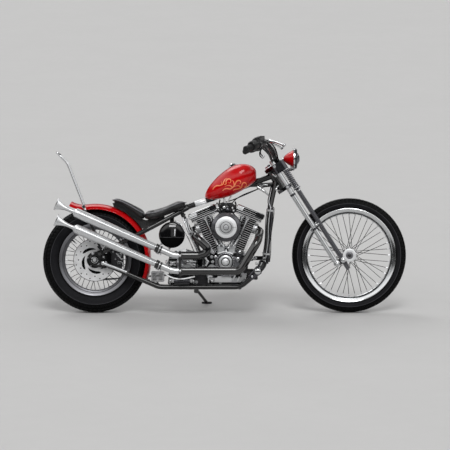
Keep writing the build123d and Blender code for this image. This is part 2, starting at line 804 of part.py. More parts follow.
def clear_of_tubes():
    """Cut the piece being built back from the frame's stays and backbone."""
    bar(backbone_path, backbone_radius + 2 * seat_gap, [300, 300], mode=Mode.SUBTRACT)
    bar(stay_path, rail_radius + 2 * seat_gap, [110], mode=Mode.SUBTRACT)
    bar([(x, -y, z) for x, y, z in stay_path], rail_radius + 2 * seat_gap, [110], mode=Mode.SUBTRACT)


with BuildPart() as seat:
    cushion_top = [(541, 640), (536, 656), (502, 657), (420, 624), (352, 598), (304, 590)]
    pad_top = [(304, 590), (286, 596), (222, 634), (150, 668), (112, 676)]
    slab(seat_line[3:] + cushion_top, seat_half, -seat_half)
    slab(seat_line[:4] + pad_top, pad_half, -pad_half)
    with BuildSketch(Plane.XY.offset(500)) as plan:
        with BuildLine():
            # Left edge of the seat's plan: x, y
            edge = [(96, pad_half), (292, pad_half), (330, seat_half), (430, seat_half), (548, 58)]
            Polyline(*edge, *[(x, -y) for x, y in reversed(edge)], close=True)
        make_face()
        fillet(plan.vertices(), radius=20)
    extrude(amount=250, mode=Mode.INTERSECT)
    clear_of_tubes()
pieces["seat"] = seat

pan_depth = 7.0
pan_half_width = 56.0
skirt_thickness = 3.0
with BuildPart() as seat_pan:
    top_line = [(x, z - seat_gap) for x, z in seat_line]
    low_line = [(x, z - pan_depth) for x, z in reversed(seat_line)]
    slab(top_line + low_line, pan_half_width, -pan_half_width)
    skirt = [(x, z - 2) for x, z in seat_line[:4]]
    skirt += [(410, 575), (410, 562), (318, 512), (292, 496), (240, 500), (118, 600)]
    for y_left in (pan_half_width, skirt_thickness - pan_half_width):
        slab(skirt, y_left, y_left - skirt_thickness)
    for side in (-1, 1):
        block((126, 142), sorted((side * 40, side * 56)), (610, 645))
        block((244, 260), sorted((side * 40, side * 56)), (520, 560))
    disc(rear.x, rear.z, fender_radius + seat_gap, 60, -60, mode=Mode.SUBTRACT)
    clear_of_tubes()
pieces["seat_pan"] = seat_pan

# Sissy bar: one bent rod, with an eye at each axle plate
sissy_y = rail_half_width + rail_radius + 1.0 + sissy_radius
sissy_foot = (54, sissy_y, 326)
sissy_half = [sissy_foot, (31, sissy_y, 388), (-60, 84, 615), (-165, 80, 886), (-226, 80, 948)]
sissy_bends = [120, 260, 90, 42, 42, 90, 260, 120]
with BuildPart() as sissy_bar:
    bar(sissy_half + [(x, -y, z) for x, y, z in reversed(sissy_half)], sissy_radius, sissy_bends)
    for side in (-1, 1):
        eye_inner_y = plate_inner_y + axle_plate_thickness + seat_gap
        side_disc(side, sissy_foot[0], sissy_foot[2], 10.0, eye_inner_y, sissy_y + 5)
        side_disc(side, -66, 628, 9.0, fender_half_width + seat_gap, 88)
pieces["sissy_bar"] = sissy_bar

# Exhaust bracket: stands on the right lower rail and straps both pipes
bracket_x = pipe_joint_x + 7.0
with BuildPart() as exhaust_bracket:
    rail_top = rail_z + rail_radius
    block((bracket_x - 10, bracket_x + 10), (-142, -100), (rail_top + seat_gap, rail_top + 8))
    block((bracket_x - 6, bracket_x + 6), (-142, -132), (rail_top, upper_pipe_z + 12))
    for z in (upper_pipe_z, lower_pipe_z):
        block((bracket_x - 6, bracket_x + 6), (pipe_y + pipe_radius, -132), (z - 9, z + 9))
        with BuildSketch(Plane.YZ.offset(bracket_x - 7)):
            with Locations((pipe_y, z)):
                Circle(pipe_radius + 4)
        extrude(amount=14)
        with BuildSketch(Plane.YZ.offset(bracket_x - 9)):
            with Locations((pipe_y, z)):
                Circle(pipe_radius + seat_gap)
        extrude(amount=18, mode=Mode.SUBTRACT)
pieces["exhaust_bracket"] = exhaust_bracket

# Rear brake caliper: straddles the disc and bolts to the right axle plate
caliper_gap = 2.5
with BuildPart() as brake_caliper:
    slab([(92, 262), (158, 262), (170, 285), (170, 345), (158, 370), (92, 370)], -61, -98, corner=10)
    slot_half = disc_half + caliper_gap
    disc(rear.x, rear.z, disc_radius + 4, disc_y + slot_half, disc_y - slot_half, mode=Mode.SUBTRACT)
    disc(rear.x, rear.z, 86.0, -50, -100, mode=Mode.SUBTRACT)
    block((92, 98), (-plate_inner_y + seat_gap, -94), (290, 340))
pieces["brake_caliper"] = brake_caliper

# ======================================================================
# Springer fork, which steers
# ======================================================================
boss_radius = 17.0
boss_half = rear_leg_radius + 1.0
pivot_radius = 6.0
rocker_y = 52.0
rocker_thickness = 12.0
perch_s = 92.0
collar_s = -38.0


def leg(lead, radius, bottom_s, top_s, side):
    """One fork leg with a bored boss across its foot."""
    y = side * leg_half_width
    foot = steer_point(bottom_s, lead, y)
    rod(foot, steer_point(top_s, lead, y), radius)
    ends = (y + boss_half, y - boss_half)
    disc(foot.X, foot.Z, boss_radius, *ends)
    disc(foot.X, foot.Z, pivot_radius + running_gap, *ends, mode=Mode.SUBTRACT)


with BuildPart() as fork_rear_legs:
    for side in (-1, 1):
        leg(rear_leg_lead, rear_leg_radius, rear_leg_bottom_s, rear_leg_top_s, side)
pieces["fork_rear_legs"] = fork_rear_legs

with BuildPart() as fork_front_legs:
    for side in (-1, 1):
        leg(front_leg_lead, front_leg_radius, rear_leg_bottom_s, front_leg_top_s, side)
        y = side * leg_half_width
        collar = steer_point(collar_s, front_leg_lead, y)
        rod(collar - steer_up * 6, collar, spring_radius + 1)
pieces["fork_front_legs"] = fork_front_legs

with BuildPart() as fork_springs:
    for side in (-1, 1):
        with BuildSketch(steer_plane(collar_s + seat_gap)):
            with Locations((front_leg_lead, side * leg_half_width)):
                Circle(spring_radius)
                Circle(front_leg_radius + 1.0, mode=Mode.SUBTRACT)
    extrude(amount=perch_s - collar_s - 2 * seat_gap)
pieces["fork_springs"] = fork_springs

rear_pivot = steer_point(rear_leg_bottom_s, rear_leg_lead)
front_pivot = steer_point(rear_leg_bottom_s, front_leg_lead)
with BuildPart() as fork_rockers:
    for side in (-1, 1):
        ends = sorted((side * rocker_y, side * (rocker_y + rocker_thickness)), reverse=True)
        with BuildSketch(side_plane(ends[0])):
            with Locations((rear_pivot.X, rear_pivot.Z)):
                Circle(15)
            with Locations((front.x, front.z)):
                Circle(20)
            make_hull()
        extrude(amount=rocker_thickness)
        for pivot in (rear_pivot, front_pivot):
            side_disc(side, pivot.X, pivot.Z, pivot_radius, rocker_y, leg_half_width + boss_half + 3)
    disc(front.x, front.z, front.axle_radius + seat_gap, 90, -90, mode=Mode.SUBTRACT)
pieces["fork_rockers"] = fork_rockers

front_nut_length = 12.0
with BuildPart() as front_axle:
    nut_start = rocker_y + rocker_thickness + seat_gap
    front_end_y = nut_start + front_nut_length + axle_free_end
    disc(front.x, front.z, front.axle_radius, front_end_y, -front_end_y)
    for side in (-1, 1):
        side_disc(side, front.x, front.z, 15.0, front.hub_half_length + 0.5, rocker_y - seat_gap)
        side_disc(side, front.x, front.z, 16.0, nut_start, nut_start + front_nut_length)
pieces["front_axle"] = front_axle

# Trees: clamp plates above and below the neck, the stem between them, bar clamps and lamp bracket
tree_thickness = 21.0
bar_lead = 62.0
bar_s = neck_top_s + tree_thickness + 16.0
clamp_y = 36.0
lamp_z = 912.0
lamp_x = 1168.0
lamp_axis = Axis((0, 0, lamp_z), (1, 0, 0))
shell_front = lamp_x + 15.0

# Outline of the lamp's shell: x ahead of the lamp's middle, radius
shell_line = [(-51.0, 0.0), (-49.0, 10.0), (-42.0, 20.0), (-24.0, 34.0), (-4.0, 45.0)]
shell_line += [(15.0, headlight_radius)]


def lamp_turned(outline, mode=Mode.ADD):
    """Revolve a closed outline of (x, radius) points about the lamp's axis."""
    with BuildSketch(Plane.XZ) as section:
        with BuildLine():
            Polyline(*[(x, lamp_z + radius) for x, radius in outline], close=True)
        make_face()
    revolve(section.sketch, axis=lamp_axis, mode=mode)


def bowl(middle_x, line, wall):
    """A thin bowl about the lamp's axis, whose outer line runs from its pole to its mouth."""
    inward = math.copysign(wall, line[-1][0] - line[0][0])
    outer = [(middle_x + x, radius) for x, radius in line]
    inner = [(outer[0][0] + inward, 0.0)]
    inner += [(x + inward / 2, radius - wall) for x, radius in outer[1:-1]]
    inner += [(outer[-1][0], outer[-1][1] - wall)]
    lamp_turned(outer + inner[::-1])


with BuildPart() as fork_trees:
    with BuildSketch(steer_plane(neck_bottom_s - 1 - tree_thickness)):
        Circle(neck_radius + 6)
        with Locations((rear_leg_lead, leg_half_width), (rear_leg_lead, -leg_half_width)):
            Circle(rear_leg_radius + 8)
        make_hull()
    extrude(amount=tree_thickness)
    with BuildSketch(steer_plane(neck_bottom_s - 2)):
        Circle(stem_radius)
    extrude(amount=neck_length + 4)
    with BuildSketch(steer_plane(neck_top_s + 1)):
        Circle(neck_radius + 6)
        with Locations((rear_leg_lead, leg_half_width), (rear_leg_lead, -leg_half_width)):
            Circle(rear_leg_radius + 8)
        with Locations((bar_lead + 2, clamp_y), (bar_lead + 2, -clamp_y)):
            Circle(18)
        make_hull()
    extrude(amount=tree_thickness)
    for side in (-1, 1):
        with BuildSketch(steer_plane(perch_s)):
            with Locations((rear_leg_lead, side * leg_half_width), (front_leg_lead, side * leg_half_width)):
                Circle(spring_radius + 2)
            make_hull()
        extrude(amount=neck_top_s + 1 + tree_thickness - perch_s)
        with BuildSketch(steer_plane(neck_top_s + tree_thickness)):
            with Locations((bar_lead, side * clamp_y)):
                Rectangle(36, 26)
        extrude(amount=34)
    handlebar_centre = steer_point(bar_s, bar_lead)
    disc(handlebar_centre.X, handlebar_centre.Z, bar_radius + seat_gap, 90, -90, mode=Mode.SUBTRACT)
    for lead, radius in ((rear_leg_lead, rear_leg_radius), (front_leg_lead, front_leg_radius)):
        with BuildSketch(steer_plane(neck_bottom_s - 60)):
            with Locations((lead, leg_half_width), (lead, -leg_half_width)):
                Circle(radius + seat_gap)
        extrude(amount=neck_length + 160, mode=Mode.SUBTRACT)
    bracket_start = steer_point(neck_top_s + 8, bar_lead + 8)
    bar([tuple(bracket_start), (1128, 0, 850), (lamp_x, 0, 847)], 8.0, [20])
    rod((lamp_x, 0, 843), (lamp_x, 0, lamp_z - shell_line[-2][1] + 6), 9.0)
    seat = [(lamp_x + x - seat_gap, radius + seat_gap) for x, radius in shell_line[1:]]
    lamp_turned([(seat[0][0], 0.0)] + seat + [(seat[-1][0], 0.0)], mode=Mode.SUBTRACT)
pieces["fork_trees"] = fork_trees

# Headlight: a bullet-shaped shell, a chrome rim, a domed lens and the reflector with its bulb
with BuildPart() as headlight_shell:
    bowl(lamp_x, shell_line, sheet)
pieces["headlight_shell"] = headlight_shell

rim_start = shell_front + seat_gap
rim_inner = headlight_radius - 8.0
rim_outer = headlight_radius + 3
with BuildPart() as headlight_rim:
    # Outline of the rim: x ahead of its back face, radius
    section = [(0, rim_inner), (0, rim_outer), (5, rim_outer), (13, rim_inner + 3), (13, rim_inner)]
    lamp_turned([(rim_start + x, radius) for x, radius in section])
pieces["headlight_rim"] = headlight_rim

lens_line = [(31.0, 0.0), (29.0, 14.0), (22.0, 29.0), (13.0, 38.0), (4.0, rim_inner - seat_gap)]
with BuildPart() as headlight_lens:
    bowl(rim_start, lens_line, sheet)
pieces["headlight_lens"] = headlight_lens

mirror_line = [(-32.0, 0.0), (-29.0, 12.0), (-20.0, 22.0), (-4.0, 34.0), (rim_start - lamp_x, rim_inner - 1)]
with BuildPart() as headlight_reflector:
    bowl(lamp_x, mirror_line, 2.0)
    rod((lamp_x - 31, 0, lamp_z), (lamp_x - 4, 0, lamp_z), 7.0)
pieces["headlight_reflector"] = headlight_reflector

# Handlebar: pulled back and down to the grips
grip_end = Vector(890, 400, 962)
pullback = Vector(1010, 225, 1011)
bar_half = [tuple(grip_end), tuple(pullback), (1022, 150, 1000), (handlebar_centre.X, 75, handlebar_centre.Z)]
with BuildPart() as handlebar:
    bar(bar_half + [(x, -y, z) for x, y, z in reversed(bar_half)], bar_radius, [60, 45, 40, 40, 45, 60])
pieces["handlebar"] = handlebar

grip_length = 130.0
grip_radius = 17.0
grip_inward = (pullback - grip_end).normalized()
with BuildPart() as grips:
    rod(grip_end - grip_inward * 5, grip_end + grip_inward * grip_length, grip_radius)
    bore_end = grip_end + grip_inward * (grip_length + 9)
    rod(grip_end - grip_inward * seat_gap, bore_end, bar_radius + seat_gap, mode=Mode.SUBTRACT)
    mirror(about=Plane.XZ)
pieces["grips"] = grips

lever_path = [(1044, 288, 1008), (1078, 330, 1000), (1112, 392, 983)]
housing_length = 48.0
housing_radius = 25.0
reservoir_up = (Vector(0, 0, 1) - grip_inward * grip_inward.Z).normalized()
with BuildPart() as hand_controls:
    start = grip_end + grip_inward * (grip_length + seat_gap)
    rod(start, start + grip_inward * housing_length, housing_radius)
    reservoir_foot = start + grip_inward * 30 + reservoir_up * 14
    with BuildSketch(Plane(origin=reservoir_foot, x_dir=grip_inward, z_dir=reservoir_up)):
        RectangleRounded(58, 38, radius=8)
    extrude(amount=24)
    bar([start + grip_inward * 22, *lever_path], 5.0, [14, 20])
    with Locations(lever_path[-1]):
        Sphere(8.5)
    bore_end = start + grip_inward * (housing_length + 32)
    rod(start - grip_inward * 5, bore_end, bar_radius + seat_gap, mode=Mode.SUBTRACT)
    mirror(about=Plane.XZ)
pieces["hand_controls"] = hand_controls

# ======================================================================
# Foot controls and side stand
# ======================================================================
peg_x = 962.0
peg_z = 246.0
with BuildPart() as foot_controls:
    for side in (-1, 1):
        inner_y = side * (rail_half_width + rail_radius + seat_gap)
        plate = sorted((inner_y, inner_y + side * 8), reverse=True)
        slab([(925, 190), (985, 232), (990, 262), (960, 275), (905, 215)], *plate, corner=6)
        rod((peg_x, inner_y, peg_z), (peg_x, side * 165, peg_z), 8.0)
        rod((peg_x, side * 150, peg_z), (peg_x, side * 245, peg_z), 17.0)
        bar([(peg_x, side * 134, peg_z), (978, side * 136, 300), (1000, side * 200, 318)], 6.0, [16])
        rod((1000, side * 176, 318), (1000, side * 226, 318), 11.0)
pieces["foot_controls"] = foot_controls

# Side stand: the leg reaches out from its lug to a foot on the floor
foot_pad = Plane(origin=stand_foot, x_dir=(1, 0, 0), z_dir=(0, -math.sin(tilt_in), math.cos(tilt_in)))
with BuildPart() as side_stand:
    eye_reach = stand_axis * stand_eye_half
    rod(stand_pivot - eye_reach, stand_pivot + eye_reach, 15.0)
    rod(stand_pivot, stand_foot + foot_pad.z_dir * 5, 9.0)
    with BuildSketch(foot_pad):
        SlotOverall(62, 40)
    extrude(amount=6)
    with BuildSketch(foot_pad.offset(-20)):
        Rectangle(200, 200)
    extrude(amount=20, mode=Mode.SUBTRACT)
    pin_bore = stand_pin_radius + running_gap
    rod(stand_pivot - eye_reach * 1.3, stand_pivot + eye_reach * 1.3, pin_bore, mode=Mode.SUBTRACT)
pieces["side_stand"] = side_stand

# ======================================================================
# Parking: lean to the left, then bring the middle of the footprint to the origin
# ======================================================================
middle_x = (wheelbase + front.tyre_radius - rear.tyre_radius) / 2
middle_y = 166.0
parked = Location((-middle_x, -middle_y, 0)) * Location((0, 0, 0), (-lean, 0, 0))
for name, piece in pieces.items():
    placed = piece.part.moved(parked)
    placed.label = name
    export_step(placed, f"parts/{name}.step")
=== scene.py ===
"""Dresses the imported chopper: finishes, wheels, engine, exhaust, bodywork, fork and small parts."""

import json
import logging
from dataclasses import dataclass, field
from enum import Enum
from math import acos, atan2, copysign, cos, pi, radians, sin, sqrt, tan, tau
from typing import Iterable

import bmesh
import bpy
from mathutils import Matrix, Vector
from mathutils.bvhtree import BVHTree
from mathutils.geometry import tessellate_polygon


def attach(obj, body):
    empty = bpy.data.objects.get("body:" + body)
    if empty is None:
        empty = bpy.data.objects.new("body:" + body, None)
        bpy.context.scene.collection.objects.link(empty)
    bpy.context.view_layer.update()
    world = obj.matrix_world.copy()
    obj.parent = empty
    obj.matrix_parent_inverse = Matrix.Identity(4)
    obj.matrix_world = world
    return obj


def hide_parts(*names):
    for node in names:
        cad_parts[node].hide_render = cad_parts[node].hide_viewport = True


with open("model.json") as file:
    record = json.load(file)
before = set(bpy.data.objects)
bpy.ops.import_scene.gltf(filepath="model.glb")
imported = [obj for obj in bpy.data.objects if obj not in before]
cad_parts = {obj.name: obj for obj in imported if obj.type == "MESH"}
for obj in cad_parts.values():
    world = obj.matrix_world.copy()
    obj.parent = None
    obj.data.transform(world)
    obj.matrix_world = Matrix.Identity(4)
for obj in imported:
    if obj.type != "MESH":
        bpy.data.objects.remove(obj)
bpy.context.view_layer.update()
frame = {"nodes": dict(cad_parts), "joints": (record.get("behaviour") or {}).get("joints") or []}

log = logging.getLogger("chopper")

MM = 0.001
Point = tuple[float, float, float]
Place = Point | Vector
Socket = bpy.types.NodeSocket


# ---- The machine's own axes ----
class Body(Enum):
    """The rigid bodies that pieces ride on."""

    CHASSIS = "chassis"
    STEERING = "steering"
    FRONT_WHEEL = "front_wheel"
    REAR_WHEEL = "rear_wheel"
    STAND = "stand"


@dataclass(frozen=True)
class Machine:
    """The upright machine: X forward from the rear axle, Y to the left, Z up, in millimetres.

    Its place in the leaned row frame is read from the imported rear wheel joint.
    """

    rear_tyre_radius: float = 311
    rear_crown: float = 61
    front_tyre_radius: float = 338.7
    front_crown: float = 43
    wheelbase: float = 1506
    rake: float = 32.6
    neck: Point = (1110, 0, 728.7)

    def lean(self) -> float:
        """The angle by which the parked machine leans, in radians."""
        axis = self._wheel_joint()["axis"]
        return atan2(-axis[2], axis[1])

    def axle_height(self, radius: float, crown: float) -> float:
        """Axle height at which a leaned round crown meets the floor.

        Args:
            radius: the tyre's radius.
            crown: half the tyre's width.

        Returns:
            The height above the floor plane, in millimetres.
        """
        return radius - crown + crown / cos(self.lean())

    def rear_axle(self) -> Vector:
        """The rear axle's middle."""
        return Vector((0, 0, self.axle_height(self.rear_tyre_radius, self.rear_crown)))

    def front_axle(self) -> Vector:
        """The front axle's middle."""
        return Vector((self.wheelbase, 0, self.axle_height(self.front_tyre_radius, self.front_crown)))

    def steer_point(self, s: float, lead: float = 0, y: float = 0) -> Vector:
        """A point s up the steering axis, lead ahead of it and y to the left.

        Args:
            s: how far up the axis.
            lead: how far ahead of it.
            y: how far to the left.

        Returns:
            The point.
        """
        turn = radians(self.rake)
        up = Vector((-sin(turn), 0, cos(turn)))
        ahead = Vector((cos(turn), 0, sin(turn)))
        return Vector(self.neck) + up * s + ahead * lead + Vector((0, y, 0))

    def steer_up(self) -> Vector:
        """The direction up the steering axis."""
        return (self.steer_point(1) - self.steer_point(0)).normalized()

    def to_row(self) -> Matrix:
        """The matrix from upright millimetres to leaned row-frame metres.

        Returns:
            The matrix.
        """
        turned = Matrix.Rotation(-self.lean(), 4, "X") @ Matrix.Scale(MM, 4)
        place = Vector(self._wheel_joint()["pos_m"]) - turned @ self.rear_axle()
        return Matrix.Translation(place) @ turned

    @staticmethod
    def _wheel_joint() -> dict:
        """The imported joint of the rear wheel."""
        return next(j for j in frame["joints"] if j["name"] == "rear_wheel_spin")


MACHINE = Machine()
TO_ROW = MACHINE.to_row()


# ---- Finishes ----
class NodeSheet:
    """A material's node tree, with short ways to add and join nodes."""

    def __init__(self, name: str) -> None:
        """Starts an empty tree with one Principled surface and object coordinates.

        Args:
            name: the material's name.
        """
        self.material = bpy.data.materials.new(name)
        self.material.use_nodes = True
        self.tree = self.material.node_tree
        self.tree.nodes.clear()
        self.surface = self.add("ShaderNodeBsdfPrincipled")
        output = self.add("ShaderNodeOutputMaterial")
        self.join(self.surface.outputs["BSDF"], output.inputs["Surface"])
        self.place = self.add("ShaderNodeTexCoord").outputs["Object"]
        self.noises: dict[tuple, Socket] = {}

    def add(self, kind: str, **settings: object) -> bpy.types.Node:
        """Adds a node of a kind, with its properties set.

        Args:
            kind: the node's type.
            settings: its properties.

        Returns:
            The node.
        """
        node = self.tree.nodes.new(kind)
        for name, value in settings.items():
            setattr(node, name, value)
        return node

    def join(self, source: Socket, target: Socket) -> None:
        """Links an output to an input."""
        self.tree.links.new(source, target)

    def feed(self, name: str, source: Socket) -> None:
        """Feeds one of the surface's sockets."""
        self.join(source, self.surface.inputs[name])

    def ranged(self, factor: Socket, limits: dict[str, float]) -> Socket:
        """Maps a factor from one range to another, by the map's own socket names.

        Args:
            factor: the factor.
            limits: values of the sockets From Min to To Max.

        Returns:
            The mapped factor.
        """
        node = self.add("ShaderNodeMapRange")
        for name, value in limits.items():
            node.inputs[name].default_value = value
        self.join(factor, node.inputs["Value"])
        return node.outputs["Result"]

    def noise(
        self, scale: float, detail: float = 4, rough: float = 0.55, stretch: Point = (1, 1, 1)
    ) -> Socket:
        """A noise field over the object, made once for each group of settings.

        Args:
            scale: cycles per metre.
            detail: octaves.
            rough: how strong the fine octaves are.
            stretch: scale factors along the row's axes.

        Returns:
            The noise's factor output.
        """
        settings = (scale, detail, rough, stretch)
        if settings not in self.noises:
            mapping = self.add("ShaderNodeMapping")
            mapping.inputs["Scale"].default_value = stretch
            self.join(self.place, mapping.inputs["Vector"])
            node = self.add("ShaderNodeTexNoise")
            for name, value in zip(("Scale", "Detail", "Roughness"), settings):
                node.inputs[name].default_value = value
            self.join(mapping.outputs["Vector"], node.inputs["Vector"])
            self.noises[settings] = node.outputs["Fac"]
        return self.noises[settings]

    def cells(self, scale: float, feature: str = "F1") -> Socket:
        """A cell pattern's distance output, at a number of cells per metre.

        Args:
            scale: cells per metre.
            feature: what the distance is measured to.

        Returns:
            The distance.
        """
        node = self.add("ShaderNodeTexVoronoi", feature=feature)
        node.inputs["Scale"].default_value = scale
        self.join(self.place, node.inputs["Vector"])
        return node.outputs["Distance"]

    def ramp(self, factor: Socket, stops: Iterable) -> Socket:
        """A colour ramp over a factor, from two (place, colour) stops.

        Args:
            factor: the factor.
            stops: the places and their colours.

        Returns:
            The colour.
        """
        node = self.add("ShaderNodeValToRGB")
        for element, (spot, colour) in zip(node.color_ramp.elements, stops):
            element.position = spot
            element.color = (*colour[:3], 1)
        self.join(factor, node.inputs["Fac"])
        return node.outputs["Color"]

    def spread(self, factor: Socket, low: float, high: float) -> Socket:
        """Maps a factor's middle part to a range of values."""
        return self.ranged(factor, {"From Min": 0.3, "From Max": 0.7, "To Min": low, "To Max": high})

    def math(self, operation: str, *pair: Socket) -> Socket:
        """A math node on two sockets.

        Args:
            operation: the node's operation.
            pair: the two sockets.

        Returns:
            The result.
        """
        node = self.add("ShaderNodeMath", operation=operation)
        for slot, value in enumerate(pair):
            self.join(value, node.inputs[slot])
        return node.outputs["Value"]

    def mix(self, factor: Socket, first: object, second: object) -> Socket:
        """Mixes two colours by a factor.

        Args:
            factor: the share of the second colour.
            first: a socket or a colour.
            second: a socket or a colour.

        Returns:
            The mixed colour.
        """
        node = self.add("ShaderNodeMix", data_type="RGBA")
        self.join(factor, node.inputs["Factor"])
        for name, value in (("A", first), ("B", second)):
            target = next(s for s in node.inputs if s.name == name and s.type == "RGBA")
            if isinstance(value, Socket):
                self.join(value, target)
            else:
                target.default_value = (*value[:3], 1)
        return next(s for s in node.outputs if s.type == "RGBA")

    def bump(self, height: Socket, strength: float, depth: float) -> None:
        """Adds a bump to the surface, on top of any it has.

        Args:
            height: the height field.
            strength: how much of it shows.
            depth: the height of its full range, in metres.
        """
        node = self.add("ShaderNodeBump")
        node.inputs["Strength"].default_value = strength
        node.inputs["Distance"].default_value = depth
        self.join(height, node.inputs["Height"])
        before = self.surface.inputs["Normal"]
        if before.is_linked:
            self.join(before.links[0].from_socket, node.inputs["Normal"])
        self.join(node.outputs["Normal"], before)

    def edges(self) -> Socket:
        """A factor that is high on worn convex edges.

        Returns:
            The factor.
        """
        point = self.add("ShaderNodeNewGeometry").outputs["Pointiness"]
        worn = self.ranged(point, {"From Min": 0.53, "From Max": 0.62})
        return self.math("MULTIPLY", worn, self.noise(180, 3))


def shade(colour: tuple, factor: float) -> tuple:
    """A colour made lighter or darker by a factor."""
    return tuple(min(1, channel * factor) for channel in colour[:3])


@dataclass(frozen=True)
class Finish:
    """A finish: its name, its colour and the roughness at both ends of its haze.

    Each kind adds the noise that its colour follows, with the colour's factor at
    two places on it, the noise of its haze, its sockets, and its relief as
    (pattern, its settings, strength, depth).
    """

    name: str
    colour: tuple
    sheen: tuple[float, float]

    drift = (16, 6, 0.65)
    tones = ((0.35, 1), (0.8, 2))
    haze = (90, 4)
    relief = (("noise", (420, 2), 0.05, 0.0004),)
    sockets = {}

    def tint(self, sheet: NodeSheet) -> Socket:
        """The base colour's source."""
        tones = [(place, shade(self.colour, factor)) for place, factor in self.tones]
        return sheet.ramp(sheet.noise(*self.drift), tones)

    def varied(self) -> dict[str, float]:
        """The sockets that differ within the kind."""
        return {}

    def material(self) -> bpy.types.Material:
        """Builds the finish's material.

        Returns:
            The material.
        """
        sheet = NodeSheet(self.name)
        sheet.feed("Base Color", self.tint(sheet))
        sheet.feed("Roughness", sheet.spread(sheet.noise(*self.haze), *self.sheen))
        for name, value in {**self.sockets, **self.varied()}.items():
            sheet.surface.inputs[name].default_value = value
        for pattern, settings, strength, depth in self.relief:
            sheet.bump(getattr(sheet, pattern)(*settings), strength, depth)
        return sheet.material


class GlossPaint(Finish):
    """Sprayed and lacquered paint with faint flake and orange peel."""

    drift, tones, haze = (9, 3), ((0.3, 0.86), (0.7, 1.1)), (34, 5)
    flake = 1.36
    sockets = {"Specular IOR Level": 0.15, "Coat Weight": 0.8, "Coat Roughness": 0.03, "Coat IOR": 1.45}

    def tint(self, sheet: NodeSheet) -> Socket:
        """The paint's slow drift, broken by its flake.

        Args:
            sheet: the material's sheet.

        Returns:
            The colour's source.
        """
        flakes = [(0, shade(self.colour, self.flake)), (0.45, self.colour)]
        glint = sheet.ramp(sheet.cells(4200), flakes)
        return sheet.mix(sheet.spread(sheet.noise(60), 0.2, 0.5), super().tint(sheet), glint)


@dataclass(frozen=True)
class PlatedMetal(Finish):
    """Bright plated or polished metal with faint polishing marks and haze."""

    metal: float = 1

    drift = haze = (26, 6, 0.6)
    tones = ((0.25, 0.9), (0.75, 1))
    relief = (("noise", (900, 2, 0.5, (1, 1, 0.15)), 0.03, 0.0002),)

    def varied(self) -> dict[str, float]:
        """How metallic the plating is."""
        return {"Metallic": self.metal}


class TurnedMetal(PlatedMetal):
    """Machined or brushed metal with fine grooves and a little oil haze."""

    drift, tones = (18, 4), ((0.3, 0.78), (0.7, 1.1))
    haze = (1500, 2, 0.5, (0.06, 1, 1))
    relief = (("noise", haze, 0.18, 0.0002),)
    sockets = {"Anisotropic": 0.3}


@dataclass(frozen=True)
class CastMetal(PlatedMetal):
    """Sand-cast alloy: fine pits, uneven sheen and brighter worn edges."""

    worn: tuple = (0.75, 0.76, 0.78)

    drift, tones, haze = (22, 5), ((0.3, 0.75), (0.7, 1.15)), (70, 5)
    relief = (("noise", (1100, 4, 0.65), 0.22, 0.0004), ("cells", (520,), 0.08, 0.0003))
    sockets = {"Specular IOR Level": 0.25}

    def tint(self, sheet: NodeSheet) -> Socket:
        """The colour, rubbed through to another on the edges."""
        return sheet.mix(sheet.edges(), super().tint(sheet), self.worn)


@dataclass(frozen=True)
class Enamel(CastMetal):
    """Deep black enamel on steel: a wet gloss, faint haze, and chips on edges."""

    metal: float = 0
    worn: tuple = (0.1, 0.1, 0.1)
    gloss: float = 1

    drift, tones, haze = (14, 6), ((0.35, 1), (0.8, 2.2)), (45, 5)
    relief = (("noise", (520, 2), 0.05, 0.0003),)
    sockets = {"Specular IOR Level": 0.12, "Coat Roughness": 0.05, "Coat IOR": 1.5}

    def varied(self) -> dict[str, float]:
        """How wet the gloss is."""
        return {"Metallic": self.metal, "Coat Weight": self.gloss}


@dataclass(frozen=True)
class Rubber(Finish):
    """Vulcanised rubber: dull, dusty and finely pitted."""

    dust: float = 1.5
    shine: float = 0.1

    relief = (("noise", (1400, 3, 0.6), 0.25, 0.0003),)

    def tint(self, sheet: NodeSheet) -> Socket:
        """The rubber's colour, paler where dust lies."""
        dusty = [(0.35, self.colour), (0.8, shade(self.colour, self.dust))]
        return sheet.ramp(sheet.noise(*self.drift), dusty)

    def varied(self) -> dict[str, float]:
        """How much the rubber shines."""
        return {"Specular IOR Level": self.shine}


class Leather(Finish):
    """Black saddle leather with pebbled grain, creases and a waxed sheen."""

    drift, tones, haze = (20, 6), ((0.3, 1), (0.8, 2.6)), (55, 5)
    relief = (
        ("cells", (330,), 0.5, 0.0006),
        ("cells", (95, "DISTANCE_TO_EDGE"), 0.18, 0.0008),
        ("noise", (38, 5, 0.7), 0.12, 0.002),
    )
    sockets = {"Sheen Weight": 0.08, "Coat Weight": 0.15, "Coat Roughness": 0.3}


@dataclass(frozen=True)
class GradedCoat(Finish):
    """A black ceramic coat that fades to another colour along the machine."""

    far_colour: tuple = (0.02, 0.019, 0.018)
    near_x: float = -0.15
    far_x: float = 0.28

    drift, wander, places, haze = (12, 5), 0.12, (0.3, 0.95), (60, 5)
    relief = (("noise", (1300, 3), 0.06, 0.0002),)
    sockets = {"Specular IOR Level": 0.1, "Coat Weight": 1, "Coat Roughness": 0.06, "Coat IOR": 1.75}

    def tint(self, sheet: NodeSheet) -> Socket:
        """A ramp by the distance along the machine, with an uneven border.

        Args:
            sheet: the material's sheet.

        Returns:
            The colour's source.
        """
        split = sheet.add("ShaderNodeSeparateXYZ")
        sheet.join(sheet.place, split.inputs["Vector"])
        along = sheet.ranged(split.outputs["X"], {"From Min": self.near_x, "From Max": self.far_x})
        noise = sheet.spread(sheet.noise(*self.drift), -self.wander, self.wander)
        return sheet.ramp(sheet.math("ADD", along, noise), zip(self.places, (self.colour, self.far_colour)))


class FlameInk(GradedCoat):
    """Airbrushed flame colour that fades from hot root to tip under lacquer."""

    drift, wander, places, haze = (45, 4), 0.15, (0.1, 0.9), (50,)
    relief = Finish.relief
    sockets = {"Coat Weight": 1, "Coat Roughness": 0.04}


